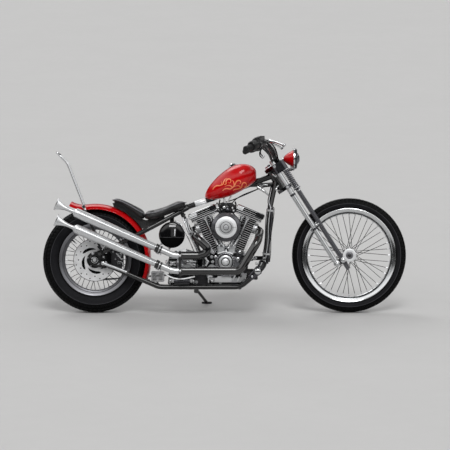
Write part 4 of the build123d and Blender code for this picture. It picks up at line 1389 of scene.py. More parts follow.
@dataclass
class RearBrake:
    """The rear brake's disc, its carrier, and the fittings of the caliper and its stay."""

    disc_y: float = -83.3
    bolt_ring: float = 42
    bolts: int = 5
    holes: int = 24
    # share of a window's length, outer radius, inner radius
    sweep: tuple = (
        (0, 62, 62), (0.2, 71, 61), (0.45, 79, 62.5), (0.7, 84, 67), (0.88, 85, 72), (1, 81, 78)
    )
    # bright pins of the caliper and its stay: start, stop, radius
    pins: tuple = (
        ((34, -104, 352), (60, -104, 394), 5),
        ((64, -104, 396), (92, -104, 372), 4.5),
        ((126, -106, 352), (162, -106, 312), 4.5),
        ((150, -106, 438), (166, -106, 412), 5),
        ((166, -106, 412), (184, -106, 436), 4),
        ((160, -104, 300), (176, -104, 262), 4),
    )

    def build(self) -> None:
        """Makes the disc, the carrier with its bolts, and the caliper's details."""
        self.disc()
        self.carrier()
        self.caliper()

    def disc(self) -> None:
        """Makes the disc: small holes in two rings and curved windows round a black carrier, with painted
        shade: black faces closing the holes, a black ring behind the windows and a black ring round the outer
        edge.
        """
        axle = MACHINE.rear_axle()
        rings = [circle(127, 120)]
        for index, (c, s) in enumerate(around(self.holes)):
            radius = 114 if index % 2 else 97
            rings.append([(radius * c + a, radius * s + b) for a, b in circle(3.8, 10)])
        for index in range(5):
            rings.append(self.window(radians(84 + 72 * index)))
        rings.append(circle(34, 48))
        form = Form().use("disc_steel")
        form.pierced(rings, Vector((0, self.disc_y - 2.4, 0)) + axle, 4.8, UP, AHEAD)
        # painted shade: black faces that close the holes, and a black ring behind the windows
        form.use("flat_black_and_painted_shade")
        for ring in rings[1 : self.holes + 1]:
            form.face([axle + Vector((b, self.disc_y - 0.6, a)) for a, b in ring])
        form.lathe(rectangle(40, 81.4, 91, 80.4), axle, RIGHT, 72, closed=True)
        # painted shade: a black ring round the disc's outer edge
        form.use("black_enamel").lathe([(124.6, 86), (127.3, 85.9), (127.3, 80.6)], axle, RIGHT, 96)
        form.make("brake_disc_pierced", Body.REAR_WHEEL, "disc_steel", 30, stands_for=("brake_disc",))

    def window(self, start: float) -> list[tuple]:
        """The outline of one curved window, from the turn of its thin tip, in the disc's (up, ahead) lengths.

        Args:
            start: the turn of its thin tip, in radians.

        Returns:
            The outline, in the disc's (up, ahead) lengths.
        """
        outer = [(start + radians(70) * share, high) for share, high, _ in self.sweep]
        inner = [(start + radians(70) * share, low) for share, _, low in self.sweep[-2:0:-1]]
        return [(radius * sin(turn), radius * cos(turn)) for turn, radius in outer + inner]

    def carrier(self) -> None:
        """Makes the black carrier, its bolts and the bright cap on the axle."""
        axle = MACHINE.rear_axle()
        form = Form().use("engine_black")
        face = Vector((0, self.disc_y - 2.4, 0)) + axle
        form.lathe(
            [(48, -0.5), (48, 1.5), (45, 3), (40, 3), (39, 5), (30, 6), (19, 6), (17.5, 4), (17.5, 0)],
            face, RIGHT, 60
        )
        form.use("bolt_steel")
        for spot in ringed(face, self.bolt_ring, -2.9, self.bolts, 0.35):
            form.cap_screw(spot, RIGHT, 4.6, 4)
        form.make("brake_carrier", Body.REAR_WHEEL, "black_engine", 30)

    def caliper(self) -> None:
        """Makes the caliper's bright caps, pins and screws, and the ribbed adjuster beside the axle."""
        form = Form().use("chrome")
        face_y = -98
        for x, z, size in ((142, 296, 15), (142, 342, 15), (76, 366, 12)):
            at = Vector((x, face_y, z))
            form.lathe(
                [(size, -1), (size, 2), (size - 2.5, 4), (size - 7, 4), (size - 8, 2), (0, 2.4)], at, RIGHT,
                32
            )
        for start, stop, size in self.pins:
            form.rod(start, stop, size)
        form.use("bolt_steel")
        for x, z, size in (
            (108, 272, 5), (108, 360, 5), (164, 318, 5), (122, 318, 5), (36, 358, 6), (156, 414, 6),
            (172, 434, 5)
        ):
            form.cap_screw((x, face_y - 1, z), RIGHT, size, 5)
        form.bolt((128, -80, 370), UP, 4.5, 6)
        form.use("satin_chrome").ribbed((50, -136, 293), (190, -136, 240), 8.5, 7.5, 2.4)
        form.use("chrome").dome((50, -128, 293), RIGHT, 13, 14)
        nut = MACHINE.rear_axle() + RIGHT * 126
        form.use("black_enamel").lathe([(30, 0), (30, 5), (27, 7), (21, 7)], nut, RIGHT, 40)
        cap = [(20, 0), (20, 8), (17, 11), (9, 11.5), (8, 10), (5, 10), (4, 11.5), (0, 12)]
        form.use("chrome").lathe(cap, nut, RIGHT, 36)
        form.make("caliper_fittings", Body.CHASSIS, "chrome", 30)


@dataclass
class FinalDrive:
    """Toothed rear sprocket and the link chain."""

    y: float = 84
    rear_radius: float = 121
    gear_radius: float = 58
    gear: Point = (520, 84, 285)
    plate_y: float = 87.8
    teeth: int = 48
    arms: int = 5
    links: int = 108
    link_half: float = 6.2
    link_waist: float = 4.4

    def build(self) -> None:
        """Makes the sprocket and the chain."""
        self.sprocket()
        self.chain()

    def sprocket(self) -> None:
        """Makes the sprocket: tooth ring, five arms with round windows, and bolts."""
        axle = MACHINE.rear_axle()
        form = Form().use("disc_steel")
        at = axle + LEFT * self.plate_y
        count = self.teeth * 4
        radii = (113.2, 111, 106, 111) * self.teeth
        rim = [(radius * c, radius * s) for radius, (c, s) in zip(radii, around(count))]
        form.hoop(circle(96, count), rim, at, 7, AHEAD, UP)
        inner = []
        for k in range(count):
            turn = tau * k / count
            radius = 90 + 3 * cos(self.arms * turn)
            inner.append((radius * cos(turn), radius * sin(turn)))
        form.hoop(inner, circle(96.5, count), at + RIGHT, 5, AHEAD, UP)
        form.hoop(circle(14, count), circle(46, count), at, 7, AHEAD, UP)
        outline = [(42, -17), (70, -10), (99, -19), (99, 19), (70, 10), (42, 17)]
        for c, s in around(self.arms, tau / (2 * self.arms)):
            along, across = Vector((c, 0, s)), Vector((-s, 0, c))
            form.use("disc_steel").slab(outline, at, 6, along, across)
            form.use("bolt_steel").bolt(at + along * 38, LEFT, 7, 5)
        form.make("rear_sprocket_toothed", Body.REAR_WHEEL, "disc_steel", 30, stands_for=("rear_sprocket",))

    def loop(self) -> list[Vector]:
        """Pin places round the chain's loop, evenly spaced.

        Returns:
            The places.
        """
        rear = MACHINE.rear_axle() + Vector((0, self.y, 0))
        gear = Vector(self.gear)
        span = gear - rear
        apart = span.length
        lift = acos((self.rear_radius - self.gear_radius) / apart)
        heading = atan2(span.z, span.x)
        route = []
        for k in range(121):
            route.append(rear + outward(heading + lift + (tau - 2 * lift) * k / 120) * self.rear_radius)
        for k in range(61):
            route.append(gear + outward(heading - lift + 2 * lift * k / 60) * self.gear_radius)
        return spaced([*route, route[0]], self.links)

    def chain(self) -> None:
        """Makes the chain: figure-eight side plates, rollers and riveted pins."""
        form = Form().use("chain_steel")
        pins = self.loop()
        half, waist = self.link_half, self.link_waist
        slope = half * 0.7
        for index, (a, b) in enumerate(zip(pins, pins[1:] + pins[:1])):
            ahead, pitch = (b - a).normalized(), (b - a).length
            up = ahead.cross(LEFT)
            below = [
                (-half, 0), (-slope, -slope), (0, -half), (pitch / 2, -waist), (pitch, -half),
                (pitch + slope, -slope)
            ]
            outline = below + [(pitch - x, -y) for x, y in below]
            out = 5.8 if index % 2 else 4
            for side in (-1, 1):
                form.slab(outline, a + LEFT * (side * out), -1.6 * side, ahead, up)
            form.lathe(rectangle(0, -7.6, 2.4, 7.6), a, LEFT, 8)
            form.lathe([(4.6, -4), (4.6, 4)], a, LEFT, 10)
        form.make("drive_chain_links", Body.CHASSIS, "chain_steel", 30, stands_for=("drive_chain",))


# ---- Engine and gearbox ----
@dataclass
class CylinderStage:
    """A finned stage of a cylinder: where it starts, its height, half width and fin pitch."""

    start: float
    height: float
    half: float
    pitch: float


@dataclass
class VTwin:
    """The finned V-twin: barrels, heads, rocker boxes, pushrods, cases and timing cover."""

    crank: Point = (778, 0, 236)
    tilt: float = 22.5
    deck: float = 150
    barrel: CylinderStage = field(default_factory=lambda: CylinderStage(150, 126, 62, 12.4))
    head: CylinderStage = field(default_factory=lambda: CylinderStage(276, 74, 66, 12))
    fin_thickness: float = 3.5
    box_half: float = 88
    box_shift: float = 6
    rocker_start: float = 350
    pushrod_y: float = -76
    cone_ribs: int = 24
    cover_screws: int = 11
    # finish, (radius, height) corners of the timer cover's turned steps; the two flat black steps are grooves
    # painted black as painted shade
    timer: tuple = (
        ("rim_steel", ((56, 80), (56, 91), (54, 95), (50, 97.4), (46, 97.4))),
        ("flat_black_and_painted_shade", ((46, 97.4), (45, 92), (42, 92), (41.4, 97))),
        ("satin_chrome", ((41.4, 97), (40, 102), (36, 105), (31, 106.5), (27, 106), (25.5, 103))),
        ("flat_black_and_painted_shade", ((25.5, 103), (24, 100), (21.5, 100))),
        ("white_metal", ((21.5, 100), (20, 106), (15, 109), (8, 110.2), (0, 110.4))),
    )
    # finish, (half along, half across, height over the foot) of each tier of a rocker box
    box_tiers: tuple = (
        ("engine_black", (
            (78, 62, 0), (80, 64, 1.5), (80, 64, 7), (78.6, 62.6, 8), (78.6, 62.6, 10), (80, 64, 11),
            (80, 64, 18.5), (76, 60, 22)
        )),
        ("fin_edge", ((79, 63, 1.5), (81, 65, 2), (81, 65, 5), (79, 63, 5.5))),
        ("fin_edge", ((79, 63, 13), (81, 65, 13.5), (81, 65, 16.5), (79, 63, 17))),
        ("flat_black_and_painted_shade", ((76, 62, 20.8), (82, 64, 21.6), (82, 64, 22.6), (78, 62, 23.2))),
        ("chrome", (
            (79, 62, 22.4), (86, 64, 22.8), (88, 66, 24.8), (88, 66, 44), (86.5, 64.6, 48.5),
            (83, 61, 52.5), (79, 57, 54.6), (75, 53, 54.6), (73, 51, 53.2)
        )),
    )
    # bright fittings: kind, place, size, and the other end or the direction where it isn't the right
    fittings: tuple = (
        ("rod", (816, -76, 190), 5, (830, -76, 221)),
        ("rod", (842, -76, 182), 5, (856, -76, 212)),
        ("bolt", (856, -72, 249), 8),
        ("bolt", (876, -70, 224), 9),
        ("bolt", (886, -66, 266), 7),
        ("dome", (928, -60, 324), 19),
        ("ribbed", (917, -74, 205), 7, (977, -74, 238)),
        ("rod", (950, -72, 292), 8, (992, -72, 290)),
        ("rod", (653, -86, 326), 5.5, (668, -86, 300)),
        ("rod", (668, -86, 300), 5.5, (655, -86, 276)),
        ("dome", (668, -84, 302), 9),
        ("bolt", (694, -76, 360), 7.5),
        ("bolt", (690, -76, 330), 7),
        ("bolt", (697, -76, 300), 7),
        ("bolt", (700, -72, 272), 7),
        ("ribbed", (700, -84, 345), 7, (716, -84, 372)),
        ("dome", (858, -72, 358), 11),
        ("dome", (846, -82, 318), 12),
        ("dome", (714, -82, 330), 11),
        ("rod", (726, -92, 348), 4, (768, -92, 362)),
        ("rod", (768, -92, 362), 4, (818, -92, 346)),
        ("dome", (790, -84, 383), 9),
        ("dome", (776, -84, 366), 7),
        ("rod", (446, -104, 300), 4.5, (478, -104, 280)),
        ("rod", (446, -104, 280), 4.5, (478, -104, 302)),
        ("dome", (462, -104, 291), 10),
        ("dome", (427, -98, 296), 9),
        ("rod", (424, -98, 314), 5, (424, -98, 276)),
        ("dome", (549, -104, 298), 10),
        ("rod", (549, -104, 298), 5, (586, -104, 270)),
        ("dome", (586, -104, 282), 12),
        ("rod", (560, -104, 306), 4, (600, -104, 300)),
        ("dark", (448, -84, 186), 13, (581, -84, 186)),
        ("dome", (448, -84, 186), 13.5, (-1, 0, 0)),
        ("dome", (581, -84, 186), 13.5, (1, 0, 0)),
        ("rod", (460, -84, 176), 14.2, (460, -84, 198)),
        ("rod", (570, -84, 176), 14.2, (570, -84, 198)),
        ("rod", (672, -72, 216), 4, (672, -72, 176)),
        ("rod", (672, -72, 216), 4, (696, -72, 214)),
        ("dome", (693, -70, 186), 8),
        ("rod", (757, -40, 704), 7, (770, -40, 645)),
        ("rod", (781, -40, 645), 3.6, (814, -40, 706)),
        ("dome", (765, -66, 622), 10),
        ("dome", (728, -62, 620), 8),
        ("rod", (720, -60, 640), 5, (732, -60, 606)),
        ("rod", (812, -60, 626), 5, (822, -60, 598)),
    )

    def directions(self, side: int) -> tuple[Vector, Vector]:
        """Along and up directions of a bore: side 1 is the front cylinder, -1 the rear."""
        turn = radians(self.tilt)
        return Vector((cos(turn), 0, -side * sin(turn))), Vector((side * sin(turn), 0, cos(turn)))

    def spot(self, side: int, along: float, y: float, height: float) -> Vector:
        """A point of a bore's own frame: along it, across the machine and above the crank."""
        ahead, up = self.directions(side)
        return Vector(self.crank) + ahead * along + up * height + Vector((0, y, 0))

    def build(self) -> None:
        """Makes every piece of the engine."""
        self.cylinders()
        self.rocker_boxes()
        self.pushrods()
        self.cam_cover()
        self.cases()
        self.brightwork()
        self.plates()

    def stack(
        self, form: Form, side: int, rings: list[tuple], shift: float = 0, corner: float = 18,
        along: float = 0
    ) -> list[Vector]:
        """Adds a tower of rounded sections to a form.

        Args:
            form: the form to add to.
            side: the cylinder.
            rings: (half along, half across, height) of each section.
            shift: how far the sections stand to the left of the bore.
            corner: radius of their corners.
            along: how far the sections stand ahead of the bore.

        Returns:
            The corners of the last section.
        """
        rows = []
        for half_long, half_wide, height in rings:
            outline = rounded_square(half_long, half_wide, min(corner, half_long, half_wide), 5)
            rows.append([self.spot(side, a + along, b + shift, height) for a, b in outline])
        form.grid(rows, round_rows=True)
        return rows[-1]

    def cylinders(self) -> None:
        """Makes the two finned cylinders with their heads, plugs and exhaust flanges."""
        form = Form()
        for side in (-1, 1):
            for stage in (self.barrel, self.head):
                self.fins(form, side, stage)
            self.head_fittings(form, side)
        form.make("cylinders_finned", Body.CHASSIS, "fin_metal", 34, stands_for=("cylinders",))

    def fins(self, form: Form, side: int, stage: CylinderStage) -> None:
        """Adds one stage: a core, and thin fins with machined rims.

        Args:
            form: the form that takes them.
            side: the cylinder.
            stage: the stage.
        """
        core = stage.half - 17
        form.use("engine_black")
        self.stack(
            form, side, [(core, core, stage.start), (core, core, stage.start + stage.height)], corner=20
        )
        count = int(stage.height // stage.pitch)
        first = stage.start + (stage.height - (count - 1) * stage.pitch - self.fin_thickness) / 2
        foot, edge, rim = core - 1, stage.half - 0.6, stage.half
        for index in range(count):
            low = first + index * stage.pitch
            high = low + self.fin_thickness
            form.use("fin_alloy")
            self.stack(form, side, [(foot, foot, low), (edge, edge, low + 0.3)], corner=20)
            self.stack(form, side, [(edge, edge, high - 0.3), (foot, foot, high)], corner=20)
            form.use("fin_edge")
            rings = [
                (edge, edge, low + 0.3), (rim, rim, low + 0.7), (rim, rim, high - 0.7),
                (edge, edge, high - 0.3)
            ]
            self.stack(form, side, rings, corner=20)

    def head_fittings(self, form: Form, side: int) -> None:
        """Adds the plug with its boot, and the exhaust port's flange with its nuts.

        Args:
            form: the form that takes them.
            side: the cylinder.
        """
        ahead, up = self.directions(side)
        port = self.spot(side, side * 58, -34, self.head.start + 30)
        form.use("cast_alloy").lathe([(31, -14), (31, 5), (29, 7.5), (25, 7.5)], port, ahead * side, 36)
        form.use("bolt_steel")
        for lift in (-1, 1):
            form.bolt(
                port + ahead * (side * 5) + up * (lift * 26) + Vector((0, lift * 8, 0)), ahead * side, 5, 6
            )
        seat = self.spot(side, -side * 20, -58, self.head.start + 26)
        out = (RIGHT - up * 0.35).normalized()
        form.use("bolt_steel").lathe([(9, -6), (9, 9), (7, 10), (7, 12)], seat, out, 6)
        form.use("cable_sheath").lathe(
            [(5.5, 9), (7.5, 13), (7.5, 24), (5, 28), (4, 34), (0, 34)], seat, out, 16
        )
        tip = seat + out * 31
        goal = Vector((self.crank[0] + side * 10, -40, 640))
        lead = [tip, tip + out * 8 + up * 12, tip.lerp(goal, 0.45) + RIGHT * 8, goal - UP * 20, goal]
        form.tube(smooth_path(lead), 3.6, 10)

    def rocker_boxes(self) -> None:
        """Makes the two-tier rocker boxes with their gaskets, screws, ribbed ends, and painted light and
        shade on their right faces.
        """
        form = Form()
        for side in (-1, 1):
            shift = -side * self.box_shift
            for finish, rings in self.box_tiers:
                rows = [(long, wide, self.rocker_start + height) for long, wide, height in rings]
                top = self.stack(form.use(finish), side, rows, -12, 12, shift)
            form.face(top)
            self.rocker_details(form, side, self.rocker_start, shift)
        form.make("rocker_boxes", Body.CHASSIS, "chrome", 30, stands_for=("rocker_covers",))

    def rocker_details(self, form: Form, side: int, base: float, shift: float) -> None:
        """Adds one box's screws and the painted light and shade of its right face: two black slots as painted
        shade, white strips on the rear end and along the slots as painted highlights, and a dark panel with
        dark ribs toward the front end as a painted dark reflection.

        Args:
            form: the form that takes them.
            side: the cylinder.
            base: the box's foot along the bore.
            shift: how far the box stands ahead of the bore.
        """
        ahead, up = self.directions(side)
        form.use("bolt_steel")
        for along in (-64, 0, 64):
            for y in (-54, 30):
                form.cap_screw(self.spot(side, along + shift, y, base + 53), up, 5, 3.4)
            form.cap_screw(self.spot(side, along + shift, -76, base + 5), RIGHT, 3.8, 2.4)
        start, stop = (-46, 28) if side > 0 else (-24, 50)
        low, high, rear = start - 5, self.box_half + shift - 3, 3 + shift - self.box_half
        # painted dark reflection: a dark panel over the face toward the front end
        panels = [("dark_chrome", rounded(rectangle(low, 2, high, 27), 3), -77.4, 1.4)]
        # painted shade: two black slots
        for level in (4.6, 15.6):
            panels.append(("flat_black_and_painted_shade", rounded(rectangle(start, level, stop, level + 8.4), 3), -78, 1.3))
        # painted highlights: white strips on the rear end
        for level in (3, 12, 21):
            panels.append(("white_metal", rectangle(rear, level, low - 2, level + 5.4), -77.6, 1.4))
        # painted highlights: white lines along the slots' edges
        for level in (2.4, 13.4, 24.8):
            panels.append(("white_metal", rectangle(start - 2, level, stop + 2, level + 1.6), -78.2, 1.5))
        # ribs toward the front end, dark like the painted panel
        for along in range(int(stop) + 7, int(high) - 2, 7):
            panels.append(("dark_chrome", rectangle(along, 3, along + 3, 26), -78, 1.8))
        for finish, outline, y, thick in panels:
            form.use(finish).slab(outline, self.spot(side, 0, y, base + 22), thick, ahead, up)

    def pushrods(self) -> None:
        """Makes the tappet blocks, and the pushrod tubes with their collars and clips."""
        form = Form()
        rows = [(-1, 5, 21), (-1, 40, 43), (1, -5, 21), (1, -40, 43)]
        for side, head_offset, step in rows:
            low = Vector((self.crank[0] + side * (64 - step), self.pushrod_y, 388))
            top = self.spot(side, head_offset, self.pushrod_y, self.rocker_start - 1)
            along, long = (top - low).normalized(), (top - low).length
            form.use("chrome")
            split = long * 0.52
            foot = [
                (9.5, 0), (9.5, 3), (13, 4), (13, 15), (10, 17), (9.2, 19), (9.2, split - 14),
                (11, split - 12)
            ]
            middle = [(11, split - 4), (12.4, split - 3), (12.4, split + 2), (10.4, split + 4)]
            head = [(10.4, long - 16), (11.6, long - 14), (12.6, long - 5), (12.6, long), (0, long)]
            form.lathe(foot + middle + head, low, along, 28)
            form.use("flat_black_and_painted_shade").lathe(
                [(9, split - 18), (11.4, split - 17), (11.4, split - 12.6), (9, split - 12)], low, along, 24
            )
        for side in (-1, 1):
            middle = self.crank[0] + side * 32
            form.use("cast_alloy")
            rings = [
                (27, 12, 352), (27, 13, 356), (22, 11, 358), (22, 11, 380), (26, 13.5, 382),
                (26, 13.5, 386), (24, 11, 388), (0.5, 0.5, 388)
            ]
            levels = []
            for half_long, half_wide, z in rings:
                outline = rounded_square(half_long, half_wide, min(7, half_wide), 3)
                levels.append([Vector((middle + a, self.pushrod_y + b, z)) for a, b in outline])
            form.grid(levels, round_rows=True)
            form.use("bolt_steel")
            for along in (-19, 19):
                form.cap_screw((middle + along, -86, 386), UP, 3.6, 5)
        form.make("pushrod_covers", Body.CHASSIS, "chrome", 32, stands_for=("pushrod_tubes",))

    def cam_cover(self) -> None:
        """Makes the timing cover: stepped plate, rim bolts and the ribbed timer cone."""
        form = Form().use("rim_steel")
        cam = Vector((self.crank[0] - 6, 0, 300))
        outline = rounded(
            [(-62, -32), (-62, 30), (-30, 38), (40, 38), (76, 22), (84, -38), (50, -86), (-20, -86)], 16, 5
        )
        rows = []
        for amount, y in (
            (0, -62.2), (0, -80), (-1.5, -82.5), (-9, -83.5), (-12, -86.5), (-14, -88.3), (-40, -88.3)
        ):
            rows.append([cam + Vector((a, y, b)) for a, b in grown(outline, amount)])
        form.grid(rows, round_rows=True)
        form.face(rows[-1])
        for finish, part in self.timer:
            form.use(finish).lathe(list(part), cam, RIGHT, 72)
        form.use("satin_chrome")
        for inner, outer in zip(
            ringed(cam, 47, -97.6, self.cone_ribs), ringed(cam, 53.4, -95.6, self.cone_ribs)
        ):
            form.rod(inner, outer, 1.5, 8)
        form.use("bolt_steel")
        for spot in ringed(cam, 10, -109.6, 2, 0.5):
            form.cap_screw(spot, RIGHT, 2.6, 2)
        ring = [Vector(corner) for corner in grown(outline, -6)]
        for spot in spaced([*ring, ring[0]], self.cover_screws, 8):
            form.cap_screw(cam + Vector((spot.x, -83, spot.y)), RIGHT, 4.4, 4)
        form.make("timing_cover", Body.CHASSIS, "chrome", 30, stands_for=("cam_cover",))

    def cases(self) -> None:
        """Makes the split crankcases: black castings with a silver lower rim, bolts and bosses."""
        x, z = self.crank[0], self.crank[2]
        turn = radians(self.tilt)
        half = self.barrel.half
        drop, run = half * sin(turn), half * cos(turn)
        deck_x, deck_z = self.deck * sin(turn), z + self.deck * cos(turn)
        reach = deck_x + run
        raw = [(0, deck_z + drop - 1), (-reach, deck_z - drop - 1), (-128, 300), (-122, 222), (-84, 178)]
        raw += [(86, 178), (124, 222), (130, 300), (reach, deck_z - drop - 1)]
        outline = rounded([(x + a, b) for a, b in raw], 10, 3)
        form = Form().use("engine_black")
        rows = []
        right = [(-30, -62), (-5, -62), (-1.5, -61), (0, -58), (0, -3), (-1.2, -1.2)]
        for amount, y in right + [(amount, -y) for amount, y in right[::-1]]:
            rows.append([Vector((a, y, b)) for a, b in grown(outline, amount)])
        form.grid(rows, round_rows=True)
        form.face(rows[0])
        form.face(rows[-1][::-1])
        form.lathe([(66, 60), (66, 97), (60, 97.6), (0, 97.6)], Vector(self.crank), LEFT, 48)
        form.use("cast_alloy")
        self.lower_rim(form, x)
        self.case_bolts(form, outline)
        form.make("crankcase_halves", Body.CHASSIS, "black_engine", 32, stands_for=("crankcase",))

    def lower_rim(self, form: Form, x: float) -> None:
        """Adds the bright sump casting, the oil pump and the ribs on the right-hand case.

        Args:
            form: the form that takes them.
            x: the crank's place along the machine.
        """
        sump = rounded(
            [(-118, 212), (-82, 179), (84, 179), (122, 216), (112, 226), (80, 205), (-78, 205),
            (-108, 224)], 6, 3
        )
        form.slab(sump, (x, -58, 0), 10)
        for along in (-60, -36, -12, 12, 36, 60):
            form.slab(rectangle(along - 2.5, 181, along + 2.5, 207), (x, -60, 0), 9)
        pump = Vector((x - 86, -60, 262))
        form.lathe([(24, 0), (24, 12), (21, 15), (12, 15), (11, 18), (0, 18)], pump, RIGHT, 32)
        plate = rounded(
            [(-68, 180), (28, 180), (32, 188), (28, 216), (-50, 216), (-56, 206), (-68, 204)], 6
        )
        form.use("white_metal").slab(plate, (x, -62, 0), 12)
        form.use("engine_black")
        canister = [
            (0, 0), (30, 0), (33, 3), (33, 56), (31, 60), (31, 66), (33, 69), (33, 80), (28, 86), (0, 86)
        ]
        form.lathe(canister, (878, -26, 226), AHEAD, 40)
        form.use("chrome").lathe([(33, 8), (33.8, 9), (33.8, 14), (33, 15)], (878, -26, 226), AHEAD, 40)

    def brightwork(self) -> None:
        """Makes the small bright fittings on the right of the engine and gearbox."""
        form = Form()
        for kind, at, size, *rest in self.fittings:
            form.use(
                {"bolt": "bolt_steel", "dark": "dark_chrome", "rod": "white_metal"}.get(kind, "chrome")
            )
            other = Vector(rest[0]) if rest else RIGHT
            if kind == "bolt":
                form.bolt(Vector(at), other, size, size * 0.9)
            elif kind == "dome":
                form.dome(Vector(at), other, size, size * 0.8, 24)
            elif kind == "ribbed":
                form.ribbed(at, other, size, 8, 2)
            else:
                form.rod(at, other, size)
        form.make("engine_fittings", Body.CHASSIS, "chrome", 30)

    def plates(self) -> None:
        """Makes the black mounting plates: one above the carburettor, one between the lower rails."""
        form = Form().use("engine_black")
        top = rounded(
            [(716, 600), (734, 636), (752, 648), (808, 652), (828, 638), (846, 604), (824, 588),
            (740, 588)], 8
        )
        form.slab(top, (0, -14, 0), 34)
        foot = rounded(
            [(430, 166), (900, 166), (912, 190), (890, 226), (640, 226), (624, 240), (438, 240)], 8
        )
        form.slab(foot, (0, -18, 0), 8)
        form.use("cable_sheath")
        for route in (
            ((736, -54, 612), (752, -60, 634), (780, -62, 640), (806, -58, 628)),
            ((800, -58, 600), (822, -62, 616), (834, -60, 636), (830, -52, 656)),
            ((748, -56, 596), (740, -62, 616), (728, -60, 630), (722, -50, 650)),
        ):
            form.tube(smooth_path(route), 5, 10)
        form.use("bolt_steel")
        for x, z in ((744, 606), (782, 632), (820, 608), (560, 190), (600, 180), (742, 178), (880, 190)):
            form.bolt((x, -48 if z > 400 else -26, z), RIGHT, 7, 6)
        form.use("dark_chrome").dome((784, -48, 606), RIGHT, 15, 9, 28)
        form.make("engine_plates", Body.CHASSIS, "black_engine", 30)

    def case_bolts(self, form: Form, outline: list[tuple]) -> None:
        """Adds case bolts and mounting nuts round the crankcase's right and left faces.

        Args:
            form: the form that takes them.
            outline: the case's outline.
        """
        form.use("bolt_steel")
        for a, b in grown(outline, -9)[::4]:
            for side in (-1, 1):
                form.bolt((a, side * 61.5, b), LEFT * side, 5.2, 5)
        for side in (-1, 1):
            for along in (-48, 48):
                for y in (-48, 48):
                    spot = self.spot(side, along * 0.98, y, self.deck + 1)
                    form.bolt(spot, self.directions(side)[1], 5.5, 6)


@dataclass
class Intake:
    """The round air cleaner and the carburettor's fittings."""

    centre: Point = (776, -94.3, 505)
    radius: float = 86
    ribs: int = 72

    def build(self) -> None:
        """Makes the air cleaner and the carburettor's small parts."""
        self.air_cleaner()
        self.carburettor()

    def air_cleaner(self) -> None:
        """Makes the air cleaner: ribbed outer ring, a groove painted black as painted shade, domed disc with
        its seam, rings and centre bolt.
        """
        at = Vector(self.centre)
        r = self.radius
        form = Form()
        for finish, part in (
            ("rim_steel", (
                (0, 0), (r - 2, 0), (r, 2), (r, 22), (r - 1, 25), (r - 3, 27), (69, 39), (68, 39)
            )),
            # painted shade: the groove between the ring and the disc is black
            ("flat_black_and_painted_shade", ((68, 39), (67.6, 35), (64.6, 35))),
            ("white_metal", ((64.6, 35), (64.6, 42), (63.6, 44), (60, 45.8))),
            ("white_metal", ((60, 45.8), (54, 47.4), (44, 49))),
            ("satin_chrome", ((44, 49), (34, 49.8))),
            ("dark_chrome", ((34, 49.8), (33.4, 48.8), (31.8, 48.8), (31, 50))),
            ("satin_chrome", ((31, 50), (24, 50.6), (17, 50.8))),
            ("dark_chrome", ((17, 50.8), (16.4, 49.6), (14.8, 49.6), (14, 51))),
            ("satin_chrome", ((14, 51), (9, 51.4), (0, 51.4))),
        ):
            form.use(finish).lathe(list(part), at, RIGHT, 96)
        form.use("dark_chrome")
        for ends in zip(ringed(at, r - 3.4, -26.6, self.ribs), ringed(at, 70.5, -38.2, self.ribs)):
            form.tube(ends, 0.9, 5, caps=False)
        form.use("flat_black_and_painted_shade")
        for side in (-1, 1):
            seam = [at + AHEAD * (side * x) + RIGHT * out for x, out in ((61, 45.4), (48, 48.4), (35, 49.7))]
            form.tube(seam, 0.8, 6)
        form.use("bolt_steel").bolt(at + RIGHT * 51, RIGHT, 6.5, 5.4)
        form.make("air_cleaner_cover", Body.CHASSIS, "chrome", 26, stands_for=("air_cleaner",))

    def carburettor(self) -> None:
        """Makes the float bowl's bands, the throttle drum and the fuel line."""
        form = Form().use("satin_chrome")
        bowl = Vector((778, -70, 455))
        cup = [
            (0, -3), (14, -3), (18, 0), (20.5, 3), (20.5, 16), (19.4, 18), (19.4, 26), (21, 27), (21, 31),
            (19, 32)
        ]
        form.lathe(cup, bowl, UP, 36)
        form.use("bolt_steel").bolt(bowl - UP * 3, -UP, 6, 5)
        form.use("dark_chrome")
        drum = Vector((806, -62, 525))
        form.lathe(
            [(0, 0), (16, 0), (16, 3), (12, 4), (12, 8), (16, 9), (16, 12), (0, 12)], drum, AHEAD, 32
        )
        fuel_line = [(740, -46, 668), (735, -58, 640), (742, -72, 600), (752, -78, 560), (758, -74, 530)]
        form.use("cable_sheath").tube(smooth_path(fuel_line), 4, 10)
        form.use("bolt_steel")
        for spot in ((740, -46, 662), (758, -74, 524)):
            form.lathe([(4.2, 0), (5.4, 1), (5.4, 7), (4.2, 8)], spot, UP, 16)
        form.make("carburettor_fittings", Body.CHASSIS, "chrome", 30)


